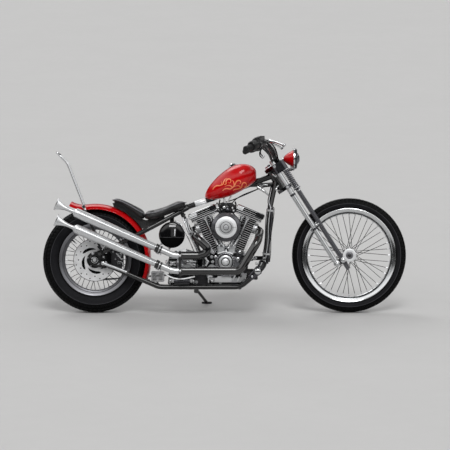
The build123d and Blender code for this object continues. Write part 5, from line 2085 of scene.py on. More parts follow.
@dataclass
class DriveCases:
    """Covers and bolts of the gearbox and the primary drive."""

    gearbox: Point = (520, 0, 285)
    crank: Point = (778, 0, 236)
    box_half: float = 60
    primary_face: float = 164
    case_bolts: tuple = (
        (-70, -50), (-70, 0), (-70, 50), (70, -50), (68, 34), (-30, -52), (40, -52), (-30, 54), (20, 54)
    )

    def build(self) -> None:
        """Makes the gearbox's and the primary cover's fittings."""
        self.gearbox_fittings()
        self.primary_fittings()

    def gearbox_fittings(self) -> None:
        """Makes the gearbox's side cover, ribs, filler plug, bolts and mounting nuts."""
        x, _, z = self.gearbox
        form = Form().use("satin_chrome")
        face = Vector((x + 12, -self.box_half, z + 8))
        cover = [(50, 16), (49, 18.6), (46, 20), (42, 20.2), (40.4, 21.6), (40.4, 23)]
        cover += [(37, 24.6), (33, 25.4), (12, 25.4), (11, 24), (0, 24)]
        form.lathe(cover, face, RIGHT, 64)
        form.use("bolt_steel")
        for spot in ringed(face, 45, -19.6, 8, 0.2):
            form.cap_screw(spot, RIGHT, 3.6, 3.2)
        for dx, dz in self.case_bolts:
            for side in (-1, 1):
                form.bolt((x + dx, side * self.box_half, z + dz), LEFT * side, 5.2, 5)
        form.use("cast_alloy")
        for dz in (-36, -18, 0, 18, 36):
            form.slab(rectangle(-79, dz - 1.6, -44, dz + 1.6), (x, -self.box_half + 0.6, z), 4)
        form.use("chrome").lathe([(15, 0), (15, 6), (13, 8), (0, 8)], (x - 30, -20, z + 60), UP, 6)
        form.make("gearbox_fittings", Body.CHASSIS, "cast_metal", 30)

    def primary_fittings(self) -> None:
        """Makes the primary cover's screws, its clutch lid rings and inspection cap."""
        form = Form().use("satin_chrome")
        clutch = Vector((self.gearbox[0], self.primary_face, self.gearbox[2]))
        engine = Vector((self.crank[0], self.primary_face, self.crank[2]))
        form.lathe(
            [(55, 7), (54, 8.6), (50, 9.4), (46, 9), (44.5, 7.6), (30, 8.2), (12, 9.6), (0, 9.8)], clutch,
            LEFT, 72
        )
        form.lathe([(29, 7), (28, 9), (25, 9.8), (22, 9), (0, 9.4)], engine, LEFT, 48)
        form.use("bolt_steel")
        for spot in ringed(clutch, 50, 8.6, 5, 0.3):
            form.cap_screw(spot, LEFT, 3.8, 3)
        for spot in ringed(engine, 24.5, 9, 3, 0.5):
            form.cap_screw(spot, LEFT, 3, 2.4)
        self.rim_screws(form)
        form.make("primary_fittings", Body.CHASSIS, "chrome", 30)

    def rim_screws(self, form: Form) -> None:
        """Adds screws in round sockets along the primary cover's rim.

        Args:
            form: the form that takes them.
        """
        clutch, engine = Vector(self.gearbox), Vector(self.crank)
        for centre, radius, turns in (
            (clutch, 74, (80, 115, 150, 185, 220, 255)), (engine, 48, (-80, -40, 0, 40, 75))
        ):
            for turn in turns:
                spot = centre + outward(radians(turn)) * radius + LEFT * (self.primary_face - 0.3)
                form.lathe([(7.2, -1), (7.2, 0.8), (6.2, 1.2), (5.2, 0.8)], spot, LEFT, 20)
                form.cap_screw(spot, LEFT, 4.6, 2.6)


@dataclass
class Exhaust:
    """Clamps, hangers and tips of the two pipes."""

    y: float = -182
    pipe: float = 24
    joint_x: float = 500
    levels: tuple = (338, 248)
    tops: tuple = (592, 497)
    rear_x: float = -110
    slope: float = 23.6
    length: float = 524

    def down(self) -> Vector:
        """The mufflers' direction towards the engine."""
        turn = radians(self.slope)
        return Vector((cos(turn), 0, -sin(turn)))

    def build(self) -> None:
        """Makes the clamps, the shells with their painted dark reflection lines, and the tips with black
        faces closing them as painted shade.
        """
        form = Form()
        for level, top in zip(self.levels, self.tops):
            rear = Vector((self.rear_x, self.y, top))
            front = rear + self.down() * self.length
            self.band(form, front, self.down(), 23, 11)
            self.band(form, front + self.down() * 22, self.down(), 21, 5)
            form.use("black_enamel").lathe(
                [(24.6, -9), (26.4, -8), (26.4, 8), (24.6, 9)], (self.joint_x + 10, self.y, level), AHEAD,
                40
            )
            self.tip(form, rear)
        form.make("exhaust_clamps", Body.CHASSIS, "chrome", 30)
        self.shells()
        self.bracket()

    def shells(self) -> None:
        """Makes the mufflers' polished shells, full behind and slender ahead, each with a thin black line
        along it as a painted dark reflection.
        """
        form = Form()
        down, up = self.down(), RIGHT.cross(self.down())
        profile = [
            (24, -3), (26, -1), (27.6, 6), (28.2, 20), (28.2, 110), (26.6, 210), (24, 320), (21.2, 420),
            (18.8, 508)
        ]
        for top in self.tops:
            rear = Vector((self.rear_x, self.y, top))
            form.use("satin_chrome").lathe(profile, rear, down, 48)
            # painted dark reflection: a thin black line along the shell
            seam = [rear + down * s + (RIGHT * 0.9 + up * 0.43) * (r - 0.2) for r, s in profile[2:]]
            form.use("flat_black_and_painted_shade").tube(seam, 1.5, 8)
        form.make("muffler_shells", Body.CHASSIS, "chrome", 30)

    def band(self, form: Form, at: Vector, along: Vector, radius: float, half: float) -> None:
        """Adds a clamp band with its bolt.

        Args:
            form: the form that takes it.
            at: the band's middle.
            along: the direction of the pipe.
            radius: the radius of the pipe.
            half: half the band's width.
        """
        end = [(radius - 1.5, half), (radius + 1.4, half), (radius + 1.8, half - 1)]
        form.use("black_enamel").lathe([(r, -height) for r, height in end] + end[::-1], at, along, 36)
        seat = at + Vector((0, 0, -radius - 3))
        form.slab(rectangle(-half + 1, -7, half - 1, 5), seat + Vector((0, 4, 0)), 3, along, UP)
        form.use("bolt_steel").bolt(seat + Vector((0, -0.6, -2)), RIGHT, 4.2, 4)

    def tip(self, form: Form, rear: Vector) -> None:
        """Adds a fishtail's rolled lip, and a black face that closes its slot as painted shade of the pipe's
        inside.

        Args:
            form: the form that takes it.
            rear: the rear end of the muffler's barrel.
        """
        back = -self.down()
        tail = rear + back * (9 + 118)
        up = LEFT.cross(self.down())
        rows = []
        for grow, lift in ((0, -6), (0.9, -4), (0.9, -0.6), (-0.4, 0.1), (-1.6, -0.3)):
            middle = tail + back * lift
            rows.append([middle + LEFT * ((10 + grow) * c) + up * ((36 + grow) * s) for c, s in around(48)])
        form.use("chrome").grid(rows, round_rows=True)
        # painted shade: a black face closes the slot
        form.use("flat_black_and_painted_shade").face(rows[-1])

    def bracket(self) -> None:
        """Makes the bracket's strap, its bright cap, boss and nuts, and the curved stay below it."""
        x = self.joint_x + 5
        form = Form().use("black_enamel")
        form.slab(rounded(rectangle(-7, 212, 7, 364), 4), (x, self.y - self.pipe - 2, 0), 3)
        form.slab(rounded(rectangle(-10, 222, 10, 350), 4), (x, self.y + self.pipe + 5, 0), 3)
        for z in (224, 292, 360):
            form.rod((x, -62 if z == 292 else self.y + 22, z), (x, self.y - self.pipe - 3, z), 7)
        cap = rounded([(-27, 362), (27, 362), (30, 367), (24, 378), (-24, 378), (-30, 371)], 6, 5)
        form.use("white_metal").slab(cap, (x + 9, self.y + 8, 0), 24)
        form.use("rim_steel").slab(rounded(rectangle(-20, 272, 20, 312), 6), (x, self.y + 12, 0), 8)
        for z in self.levels:
            form.use("chrome").dome((x, self.y - self.pipe - 5, z), RIGHT, 8, 6, 24)
        form.use("bolt_steel")
        for spot in ((-13, 302), (13, 282)):
            form.bolt((x + spot[0], self.y + 4, spot[1]), RIGHT, 5, 4)
        stay = [(x, -178, z) for x, z in ((414, 236), (440, 216), (478, 203), (530, 202), (592, 215))]
        form.use("white_metal").tube(smooth_path(stay), 4.6, 12)
        form.make("exhaust_bracket_strap", Body.CHASSIS, "chrome", 30, stands_for=("exhaust_bracket",))


# ---- Tank, fender, boxes and frame fittings ----
@dataclass
class TankArt:
    """The flame pattern on both sides of the tank, laid on its surface."""

    node: str = "fuel_tank"
    lift: float = 0.5
    licks: tuple = (
        ((697, 729), (708, 743), (722, 751), (741, 752), (751, 762), (747, 778)),
        ((741, 752), (757, 759), (763, 775), (771, 789), (784, 796)),
        ((765, 756), (776, 762), (776, 776), (785, 789), (799, 789), (805, 778), (798, 767), (787, 769)),
        ((756, 722), (767, 731), (782, 734), (800, 732), (812, 741), (803, 750), (786, 752), (770, 747)),
        ((804, 733), (819, 744), (824, 758), (820, 773), (811, 785)),
        ((817, 723), (829, 730), (843, 732), (858, 736), (857, 747), (842, 751), (826, 745)),
        ((826, 747), (831, 762), (838, 776), (850, 782), (861, 777), (862, 766), (852, 760)),
        ((858, 731), (868, 742), (871, 758), (879, 769), (891, 767), (896, 757), (890, 747), (879, 748)),
        ((884, 741), (899, 745), (912, 755)),
    )

    def surface(self) -> BVHTree:
        """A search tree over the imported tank's faces.

        Returns:
            The tree.
        """
        mesh = frame["nodes"][self.node].data
        return BVHTree.FromPolygons(
            [v.co for v in mesh.vertices], [tuple(p.vertices) for p in mesh.polygons]
        )

    def on_tank(self, tree: BVHTree, x: float, z: float, side: int, lift: float) -> Vector:
        """The place on the tank's side that lies beside a point of the side view.

        Args:
            tree: the tank's search tree.
            x: place along the machine.
            z: height.
            side: 1 for the left, -1 for the right.
            lift: height above the paint.

        Returns:
            The place in upright millimetres.
        """
        start = TO_ROW @ Vector((x, side * 400, z))
        toward = ((TO_ROW @ Vector((x, 0, z))) - start).normalized()
        hit, normal, _, _ = tree.ray_cast(start, toward)
        if hit is None:
            hit, normal, _, _ = tree.find_nearest(TO_ROW @ Vector((x, side * 60, z)))
        return TO_ROW.inverted() @ (hit + normal.normalized() * lift * MM)

    def ribbon(self, form: Form, tree: BVHTree, path: list, side: int, width: float, lift: float) -> None:
        """Lays a tapering ribbon over the tank along a flowing side-view path.

        Args:
            form: the form that takes it.
            tree: the tank's search tree.
            path: its (x, z) places in the side view.
            side: 1 for the left, -1 for the right.
            width: half its greatest width.
            lift: height of its edges above the paint.
        """
        spots = smooth_path([(x, 0, z) for x, z in path], 10)
        rows = []
        for index, spot in enumerate(spots):
            ahead = (spots[min(index + 1, len(spots) - 1)] - spots[max(index - 1, 0)]).normalized()
            across = Vector((-ahead.z, 0, ahead.x))
            share = index / (len(spots) - 1)
            half = width * (0.3 + 0.7 * sin(pi * min(1, 0.12 + share * 0.95)))
            row = []
            for step in (-1, -0.34, 0.34, 1):
                point = spot + across * half * step
                row.append(self.on_tank(tree, point.x, point.z, side, lift + 0.25 * (1 - step * step)))
            rows.append(row)
        form.grid(rows)

    def build(self) -> None:
        """Makes the flames of both sides."""
        tree = self.surface()
        form = Form()
        for side in (-1, 1):
            for finish, width, lift in (
                ("flame_body", 4.1, self.lift), ("flame_edge", 2.3, self.lift + 0.35)
            ):
                form.use(finish)
                for path in self.licks:
                    self.ribbon(form, tree, path, side, width, lift)
        form.make("tank_flames", Body.CHASSIS, "red_paint", 60)


@dataclass
class Bodywork:
    """Fittings of the tank, fender, oil tank and electrical box."""

    fender_radius: float = 333
    fender_half: float = 74
    oil: Point = (455, 0, 460)
    oil_radius: float = 77
    cap: Point = (820, 0, 863)

    def build(self) -> None:
        """Makes the fittings of each painted part."""
        self.fuel_cap()
        self.fender_edge()
        self.oil_tank()
        self.box()

    def fuel_cap(self) -> None:
        """Makes the bright ring under the filler cap."""
        at = Vector(self.cap)
        form = Form().use("chrome")
        form.lathe([(29, -2), (29, 1.5), (26.5, 3), (24.2, 3)], at, UP, 48)
        form.make("filler_ring", Body.CHASSIS, "chrome", 30)

    def fender_edge(self) -> None:
        """Makes the fender's rolled edges, its bolts and the black sleeves of its stays."""
        form = Form().use("red_paint")
        for side in (-1, 1):
            middle = MACHINE.rear_axle() + LEFT * (side * (self.fender_half - 1.5))
            path = [
                middle + outward(radians(turn)) * (self.fender_radius - 31) for turn in (*range(-23, 98, 3),
                98)
            ]
            form.tube(path, 2.9, 10)
        form.use("chrome")
        for side in (-1, 1):
            form.lathe([(11, 0), (11, 4), (9, 6), (0, 6.4)], (-66, side * 88, 628), LEFT * side, 24)
        form.use("cable_sheath")
        for side in (-1, 1):
            stay = [
                (52, side * 133, 334), (31, side * 133, 388), (-14, side * 109, 500),
                (-56, side * 86.2, 606)
            ]
            form.tube(smooth_path(stay, 6), 7.3, 14)
        form.make("fender_fittings", Body.CHASSIS, "red_paint", 40)

    def oil_tank(self) -> None:
        """Makes the oil tank's domed end with its lower half painted black as painted shade, seam, strap with
        a painted highlight down its edge and its bright clip, filler cap and hose joints.
        """
        at = Vector(self.oil)
        x, _, z = self.oil
        form = Form().use("black_enamel")
        end = [(77, 56), (77.4, 58), (77.4, 62), (75.5, 66), (71, 70), (63, 73.4), (48, 75.4), (0, 76)]
        form.lathe(end, at, RIGHT, 96)
        # painted shade: the end's lower half is black, darker than the upper
        form.recolour("flat_black_and_painted_shade", 0, lambda spot: spot.z < z - 15)
        strap = [(x + k * 7.4, -sqrt(1 - (k / 10.6) ** 4) * 15 - 61.4, z - 15) for k in range(-10, 11)]
        form.use("engine_black").tube(strap, 1.6, 8)
        form.use("black_enamel").slab(rounded(rectangle(-6, -12, 24, 62), 7), (x, -75, z), 5)
        # painted highlight: a thin white strip down the strap's right edge
        form.use("white_metal").slab(rounded([(15, -8), (18, -8), (23, 36), (15, 36)], 3), (x, -80, z), 2.4)
        form.slab(rounded([(-18, 48), (24, 48), (22, 57), (-14, 58)], 4), (x, -72, z), 9)
        filler = at + Vector((30, -20, self.oil_radius - 6))
        form.lathe([(17, -2), (17, 8), (14, 11), (0, 11.5)], filler, (0.35, 0, 0.94), 24)
        for turn in (-140, -100):
            out = outward(radians(turn))
            joint = at + out * (self.oil_radius - 1) + RIGHT * 22
            form.use("bolt_steel").lathe([(8, 0), (8, 6), (5, 7), (5, 14)], joint, out, 6)
        form.make("oil_tank_fittings", Body.CHASSIS, "black_frame", 30)

    def box(self) -> None:
        """Makes the silver box's lid with its ribs and screws."""
        form = Form().use("box_steel")
        lid = rounded(rectangle(334, 184, 408, 243), 8, 4)
        steps = ((1.5, -96), (1.5, -104.5), (0, -106), (-6, -106.4), (-8, -104.8), (-30, -104.8))
        rows = [[Vector((a, y, b)) for a, b in grown(lid, g)] for g, y in steps]
        form.grid(rows, round_rows=True)
        form.face(rows[-1])
        for z in (200, 208, 216, 224):
            form.slab(rectangle(346, z, 396, z + 3), (0, -104.4, 0), 1.6)
        form.use("bolt_steel")
        for x, z in ((341, 191), (401, 191), (341, 236), (401, 236)):
            form.cap_screw((x, -106, z), RIGHT, 3.6, 2.6)
        form.make("electrical_box_lid", Body.CHASSIS, "silver_box", 30)


@dataclass
class FrameFittings:
    """Weld beads, oil lines, strapped cables, bails and mounting bolts of the frame."""

    half: float = 112
    rail: float = 13.5
    # corners and radius of each oil line
    routes: tuple = (
        (((492, -62, 528), (512, -76, 516), (552, -84, 440), (583, -88, 372), (604, -84, 330)), 3.2),
        (((520, -60, 560), (535, -74, 520), (572, -84, 440), (610, -90, 364), (628, -84, 320)), 3.2),
        (((566, -72, 448), (580, -82, 416), (600, -88, 372), (616, -86, 336)), 2.8),
        (((534, -66, 552), (540, -70, 520), (548, -74, 490), (560, -76, 462)), 5.4),
        (((546, -66, 556), (552, -70, 520), (560, -74, 490), (570, -76, 468)), 4),
        (((628, -72, 452), (660, -76, 424), (684, -78, 396), (690, -78, 372)), 3.4),
    )
    lug: tuple = ((1048, 27, 682), (1024, 28, 700), (1006, 26, 716), (984, 23, 731), (962, 19, 745))
    backbone_cables: tuple = (
        (
            (1040, -30, 752), (1000, -27, 744), (940, -27, 722), (880, -27, 698), (830, -34, 668),
            (806, -44, 630), (803, -60, 572), (806, -63, 540)
        ),
        (
            (1036, -28, 748), (990, -25, 742), (930, -25, 716), (870, -25, 690), (800, -26, 662),
            (720, -26, 640), (640, -25, 612), (585, -22, 590)
        ),
    )
    # finish, place ahead of the downtube's middle, place beside it, and radius of each strapped cable
    strapped: tuple = (
        ("cable_sheath", 19, -4, 3),
        ("dark_chrome", 13, -13, 2.4),
        ("cable_sheath", 24, 4, 2.4),
        ("dark_chrome", -16, -9, 2.4),
        ("cable_sheath", -9, -15, 2.6),
        ("bolt_steel", 3, -16, 1.8),
    )

    def build(self) -> None:
        """Makes the frame's small parts."""
        self.welds()
        self.cables()
        self.neck_bails()
        self.lines()
        self.mounts()

    def bead(self, form: Form, at: Point, along: Vector, radius: float) -> None:
        """Adds a rippled weld bead round a tube.

        Args:
            form: the form that takes it.
            at: the tube's middle.
            along: the direction of the tube.
            radius: the tube's radius.
        """
        first, second, along = turned_to(along)
        path = []
        for k, (c, s) in enumerate(around(30)):
            path.append(
                Vector(at) + (first * c + second * s) * (radius + 0.3) + along * (0.5 * cos(k * pi))
            )
        path.append(path[0])
        form.tube(path, 2.3, 6, caps=False, closed=True)

    def welds(self) -> None:
        """Makes the weld beads at the frame's joints."""
        form = Form().use("black_enamel")
        joints = [((622, 0, 168), UP, 13), ((522, 0, 586), (-0.3, 0, -1), 13)]
        joints += [((1052, 0, 761), AHEAD, 11.5), ((914, 0, 753.5), AHEAD, 11.5)]
        for side in (-1, 1):
            joints += [
                ((88, side * self.half, 276), (1, 0, -0.43), 14),
                ((98, side * self.half, 379), (1, 0, 0.52), 14),
                ((512, side * 36, 601), (0.85, -side * 0.36, 0.45), 14),
            ]
            for x in (458, 572, 700, 856, 622):
                joints.append(((x, side * (self.half - self.rail), 151), LEFT, 11.5))
            joints.append(((1010, side * (self.half - self.rail - 7), 322), LEFT, 11.5))
        for at, along, radius in joints:
            self.bead(form, at, along, radius)
        form.make("frame_welds", Body.CHASSIS, "black_frame", 60)

    def clamp(self, form: Form, at: Vector, along: Vector, radius: float) -> None:
        """Adds a bright clip with its screw round a tube."""
        form.use("satin_chrome").lathe(rectangle(radius - 1, -5, radius + 1.2, 5), at, along, 28)
        form.use("bolt_steel").cap_screw(at + RIGHT * (radius + 1), RIGHT, 3.4, 3)

    def downtube(self, z: float) -> Vector:
        """The middle of the right downtube at a height.

        Args:
            z: the height.

        Returns:
            The middle.
        """
        rows = [(275, 1006, 112), (600, 1034, 62), (775, 1072, 15)]
        for (z0, x0, y0), (z1, x1, y1) in zip(rows, rows[1:]):
            if z0 <= z <= z1:
                t = (z - z0) / (z1 - z0)
                return Vector((x0 + (x1 - x0) * t, -(y0 + (y1 - y0) * t), z))
        return Vector((1006, -112, z))

    def beside(self, z: float, ahead: float) -> Vector:
        """A place beside the right downtube, drawn back near the neck to clear the turning fork.

        Args:
            z: the height.
            ahead: how far ahead of the downtube's middle.

        Returns:
            The place.
        """
        share = min(1, max(0, (z - 610) / 50))
        share = share * share * (3 - 2 * share)
        return self.downtube(z) + AHEAD * (ahead * (1 - share) - 18 * share)

    def cables(self) -> None:
        """Makes the wiring and cables strapped to the right downtube and under the backbone."""
        form = Form()
        for finish, ahead, out, size in self.strapped:
            path = []
            for z in range(300, 741, 20):
                sway = 2.6 * sin(z / 38 + ahead)
                path.append(self.beside(z, ahead + sway) + LEFT * (out * (1 - 0.1 * cos(z / 60))))
            form.use(finish).tube(smooth_path([*path, (1044, -6, 758)], 3), size, 8)
        bundle = [self.beside(z, 11) + LEFT * 2 for z in range(290, 741, 15)]
        form.use("cable_sheath").tube([*bundle, (1045, -8, 756)], 8, 12)
        for z in (350, 607):
            self.clamp(form, self.downtube(z) + Vector((2, -3, 0)), Vector((0.1, -0.15, 1)), 23)
        form.use("cable_sheath")
        for route in self.backbone_cables:
            form.tube(smooth_path(route), 3.4, 10)
        form.make("frame_cables", Body.CHASSIS, "black_rubber", 60)

    def neck_bails(self) -> None:
        """Makes the bright bent lugs on each side of the downtubes under the neck, and a thin bright line on
        each side of the tube under the neck as a painted highlight.
        """
        form = Form().use("chrome")
        for side in (-1, 1):
            y = side * 34
            lug = [(x, side * out, z) for x, out, z in self.lug]
            form.tube(smooth_path(lug), [5.5] * 8 + [6] * 8 + [8] * 8 + [9.5] * 9, 14)
            # painted highlight: a thin bright line along the side of the tube under the neck
            form.tube(
                smooth_path([(1024, side * 13, 757), (1000, side * 15, 756), (974, side * 13, 752)]), 3, 8
            )
            form.tube(
                smooth_path([(1058, side * 30, 718), (1070, side * 30, 734), (1088, side * 30, 752)]),
                [7] * 8 + [5] * 9, 12
            )
            form.dome((1074, y, 730), LEFT * side, 9, 9, 24)
            form.rod((1049, y, 824), (1077, y, 804), 9)
        form.make("neck_bails", Body.CHASSIS, "chrome", 50)

    def lines(self) -> None:
        """Makes the bright oil lines beside the seat tube, and a white sleeve on the backbone as a painted
        highlight.
        """
        form = Form().use("chrome")
        for route, size in self.routes:
            form.use("chrome").tube(smooth_path(route), size, 12)
            for end, near in ((route[0], route[1]), (route[-1], route[-2])):
                along = (Vector(near) - Vector(end)).normalized()
                nut = [(size + 2.5, -2), (size + 2.5, 9), (size + 1, 10), (size, 10)]
                form.use("bolt_steel").lathe(nut, end, along, 6)
        # painted highlight: a white sleeve over the backbone
        form.use("white_metal").rod((588, 0, 640), (662, 0, 665), 18.2, 40)
        form.rod((479, -66, 543), (514, -66, 524), 5)
        form.make("oil_lines", Body.CHASSIS, "chrome", 50)

    def mounts(self) -> None:
        """Makes the nuts of the engine mounts, axle plates and foot control brackets."""
        form = Form()
        for side in (-1, 1):
            out = LEFT * side
            form.use("bolt_steel")
            for x, z in ((-12, 350), (66, 296), (66, 356), (20, 290)):
                form.bolt((x, side * 116, z), out, 5.5, 5)
            form.bolt((950, side * 18, 322), out, 7, 6)
            for x, z in ((930, 214), (970, 262)):
                form.lathe([(7, 0), (7, 5), (5, 6), (0, 6)], (x, side * 133.5, z), out, 6)
            form.use("chrome").lathe(
                [(14, -1), (14, 3), (11, 4.5), (0, 5)], MACHINE.rear_axle() + out * 130.6, out, 6
            )
        form.make("frame_bolts", Body.CHASSIS, "dark_steel", 30)


# ---- Seat ----
@dataclass
class Cushion:
    """One seat cushion: stations along its length, inflated as cloth, with piping on its seams."""

    name: str
    stations: tuple
    voxel: float = 5
    cap: float = 7
    pressure: float = 4
    square_sides: float = 0.42
    square_top: float = 0.57
    piping_share: float = 0.8

    def rings(self) -> list[list[Vector]]:
        """The cushion's starting shape: a ring of points at each station.

        Returns:
            A ring of points for each station, which is (x, low z, high z, half width).
        """
        rows = []
        for x, low, high, half in self.stations:
            middle, tall = (low + high) / 2, (high - low) / 2
            ring = []
            for c, s in around(32):
                y = half * copysign(abs(c) ** self.square_sides, c)
                ring.append(Vector((x, y, middle + tall * copysign(abs(s) ** self.square_top, s))))
            rows.append(ring)
        return rows

    def shell(self) -> bpy.types.Object:
        """Makes the closed starting shell, in the row frame.

        Returns:
            The shell.
        """
        form = Form().use("leather")
        rows = self.rings()
        form.grid(rows, round_rows=True)
        form.face(rows[0][::-1])
        form.face(rows[-1])
        return form.placed(self.name)

    def voxels(self, piece: bpy.types.Object) -> None:
        """Remeshes the shell evenly.

        Args:
            piece: the cushion's shell.
        """
        remesh = piece.modifiers.new("voxels", "REMESH")
        remesh.mode = "VOXEL"
        remesh.voxel_size = self.voxel * MM
        freeze(piece)

    def inflate(self, piece: bpy.types.Object) -> None:
        """Swells the shell as pressed cloth and holds each point near its start.

        Args:
            piece: the cushion's shell.
        """
        start = [v.co.copy() for v in piece.data.vertices]
        cloth = piece.modifiers.new("swell", "CLOTH")
        cloth.settings.use_pressure = True
        cloth.settings.uniform_pressure_force = self.pressure
        cloth.settings.quality = 6
        cloth.settings.effector_weights.gravity = 0
        scene = bpy.context.scene
        for number in range(1, 21):
            scene.frame_set(number)
        freeze(piece)
        scene.frame_set(1)
        limit = self.cap * MM
        for vertex, before in zip(piece.data.vertices, start):
            move = vertex.co - before
            if move.length > limit:
                vertex.co = before + move.normalized() * limit

    def build(self) -> bpy.types.Object:
        """Makes the cushion.

        Returns:
            The cushion.
        """
        piece = self.shell()
        self.voxels(piece)
        self.inflate(piece)
        smooth = piece.modifiers.new("settle", "SMOOTH")
        smooth.iterations = 6
        smooth.factor = 0.5
        freeze(piece)
        piece.data.shade_smooth()
        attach(piece, Body.CHASSIS.value)
        log.info("%s: %d faces", self.name, len(piece.data.polygons))
        return piece

    def piping(self, form: Form) -> None:
        """Adds cord piping round the cushion's upper edge.

        Args:
            form: the form that takes it.
        """
        left, right = [], []
        for x, low, high, half in self.stations:
            z = low + (high - low) * self.piping_share
            left.append((x, half - 1.5, z))
            right.append((x, -half + 1.5, z))
        front = (right[-1][0] + 4, 0, right[-1][2] + 2)
        back = (right[0][0] - 4, 0, right[0][2] + 2)
        loop = [*right, front, *left[::-1], back, right[0]]
        form.tube(smooth_path(loop, 5), 3, 8, caps=False, closed=True)


def freeze(piece: bpy.types.Object) -> None:
    """Applies a piece's modifiers to its mesh.

    Args:
        piece: the piece.
    """
    graph = bpy.context.evaluated_depsgraph_get()
    graph.update()
    mesh = bpy.data.meshes.new_from_object(piece.evaluated_get(graph))
    piece.modifiers.clear()
    piece.data = mesh


@dataclass
class Saddle:
    """The two-part seat: the rider's cushion and the pad behind it."""

    # (x, low z, high z, half width) of each station
    rider: tuple = (
        (292, 556, 584, 62), (300, 552, 592, 92), (320, 553, 597, 108), (352, 560, 602, 113),
        (390, 573, 612, 114), (425, 586, 624, 110), (460, 600, 640, 98), (495, 611, 655, 82),
        (522, 620, 661, 66), (534, 628, 656, 44),
    )
    pillion: tuple = (
        (106, 655, 668, 50), (114, 652, 672, 74), (134, 650, 670, 80), (160, 643, 661, 82),
        (195, 616, 646, 82), (230, 590, 628, 82), (262, 560, 612, 80), (284, 553, 598, 72),
        (292, 554, 588, 54),
    )
    # (x, z) corners of the black filler under the pad, painted shade that closes the gap
    base: tuple = (
        (110, 650), (134, 653), (160, 646), (196, 619), (232, 592), (264, 563), (286, 558),
        (264, 549), (228, 572), (190, 600), (152, 624), (118, 638),
    )

    def build(self) -> None:
        """Makes both cushions with their seams, and the black filler under the pad as painted shade."""
        rider, pillion = Cushion("rider_cushion", self.rider), Cushion("pillion_pad", self.pillion)
        first = rider.build()
        pillion.build()
        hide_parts("seat")
        form = Form().use("piping")
        rider.piping(form)
        pillion.piping(form)
        # painted shade: a black filler under the pad
        form.use("grip_rubber")
        form.slab(self.base, (0, 66, 0), 132)
        form.make("seat_piping", Body.CHASSIS, "black_leather", 60)


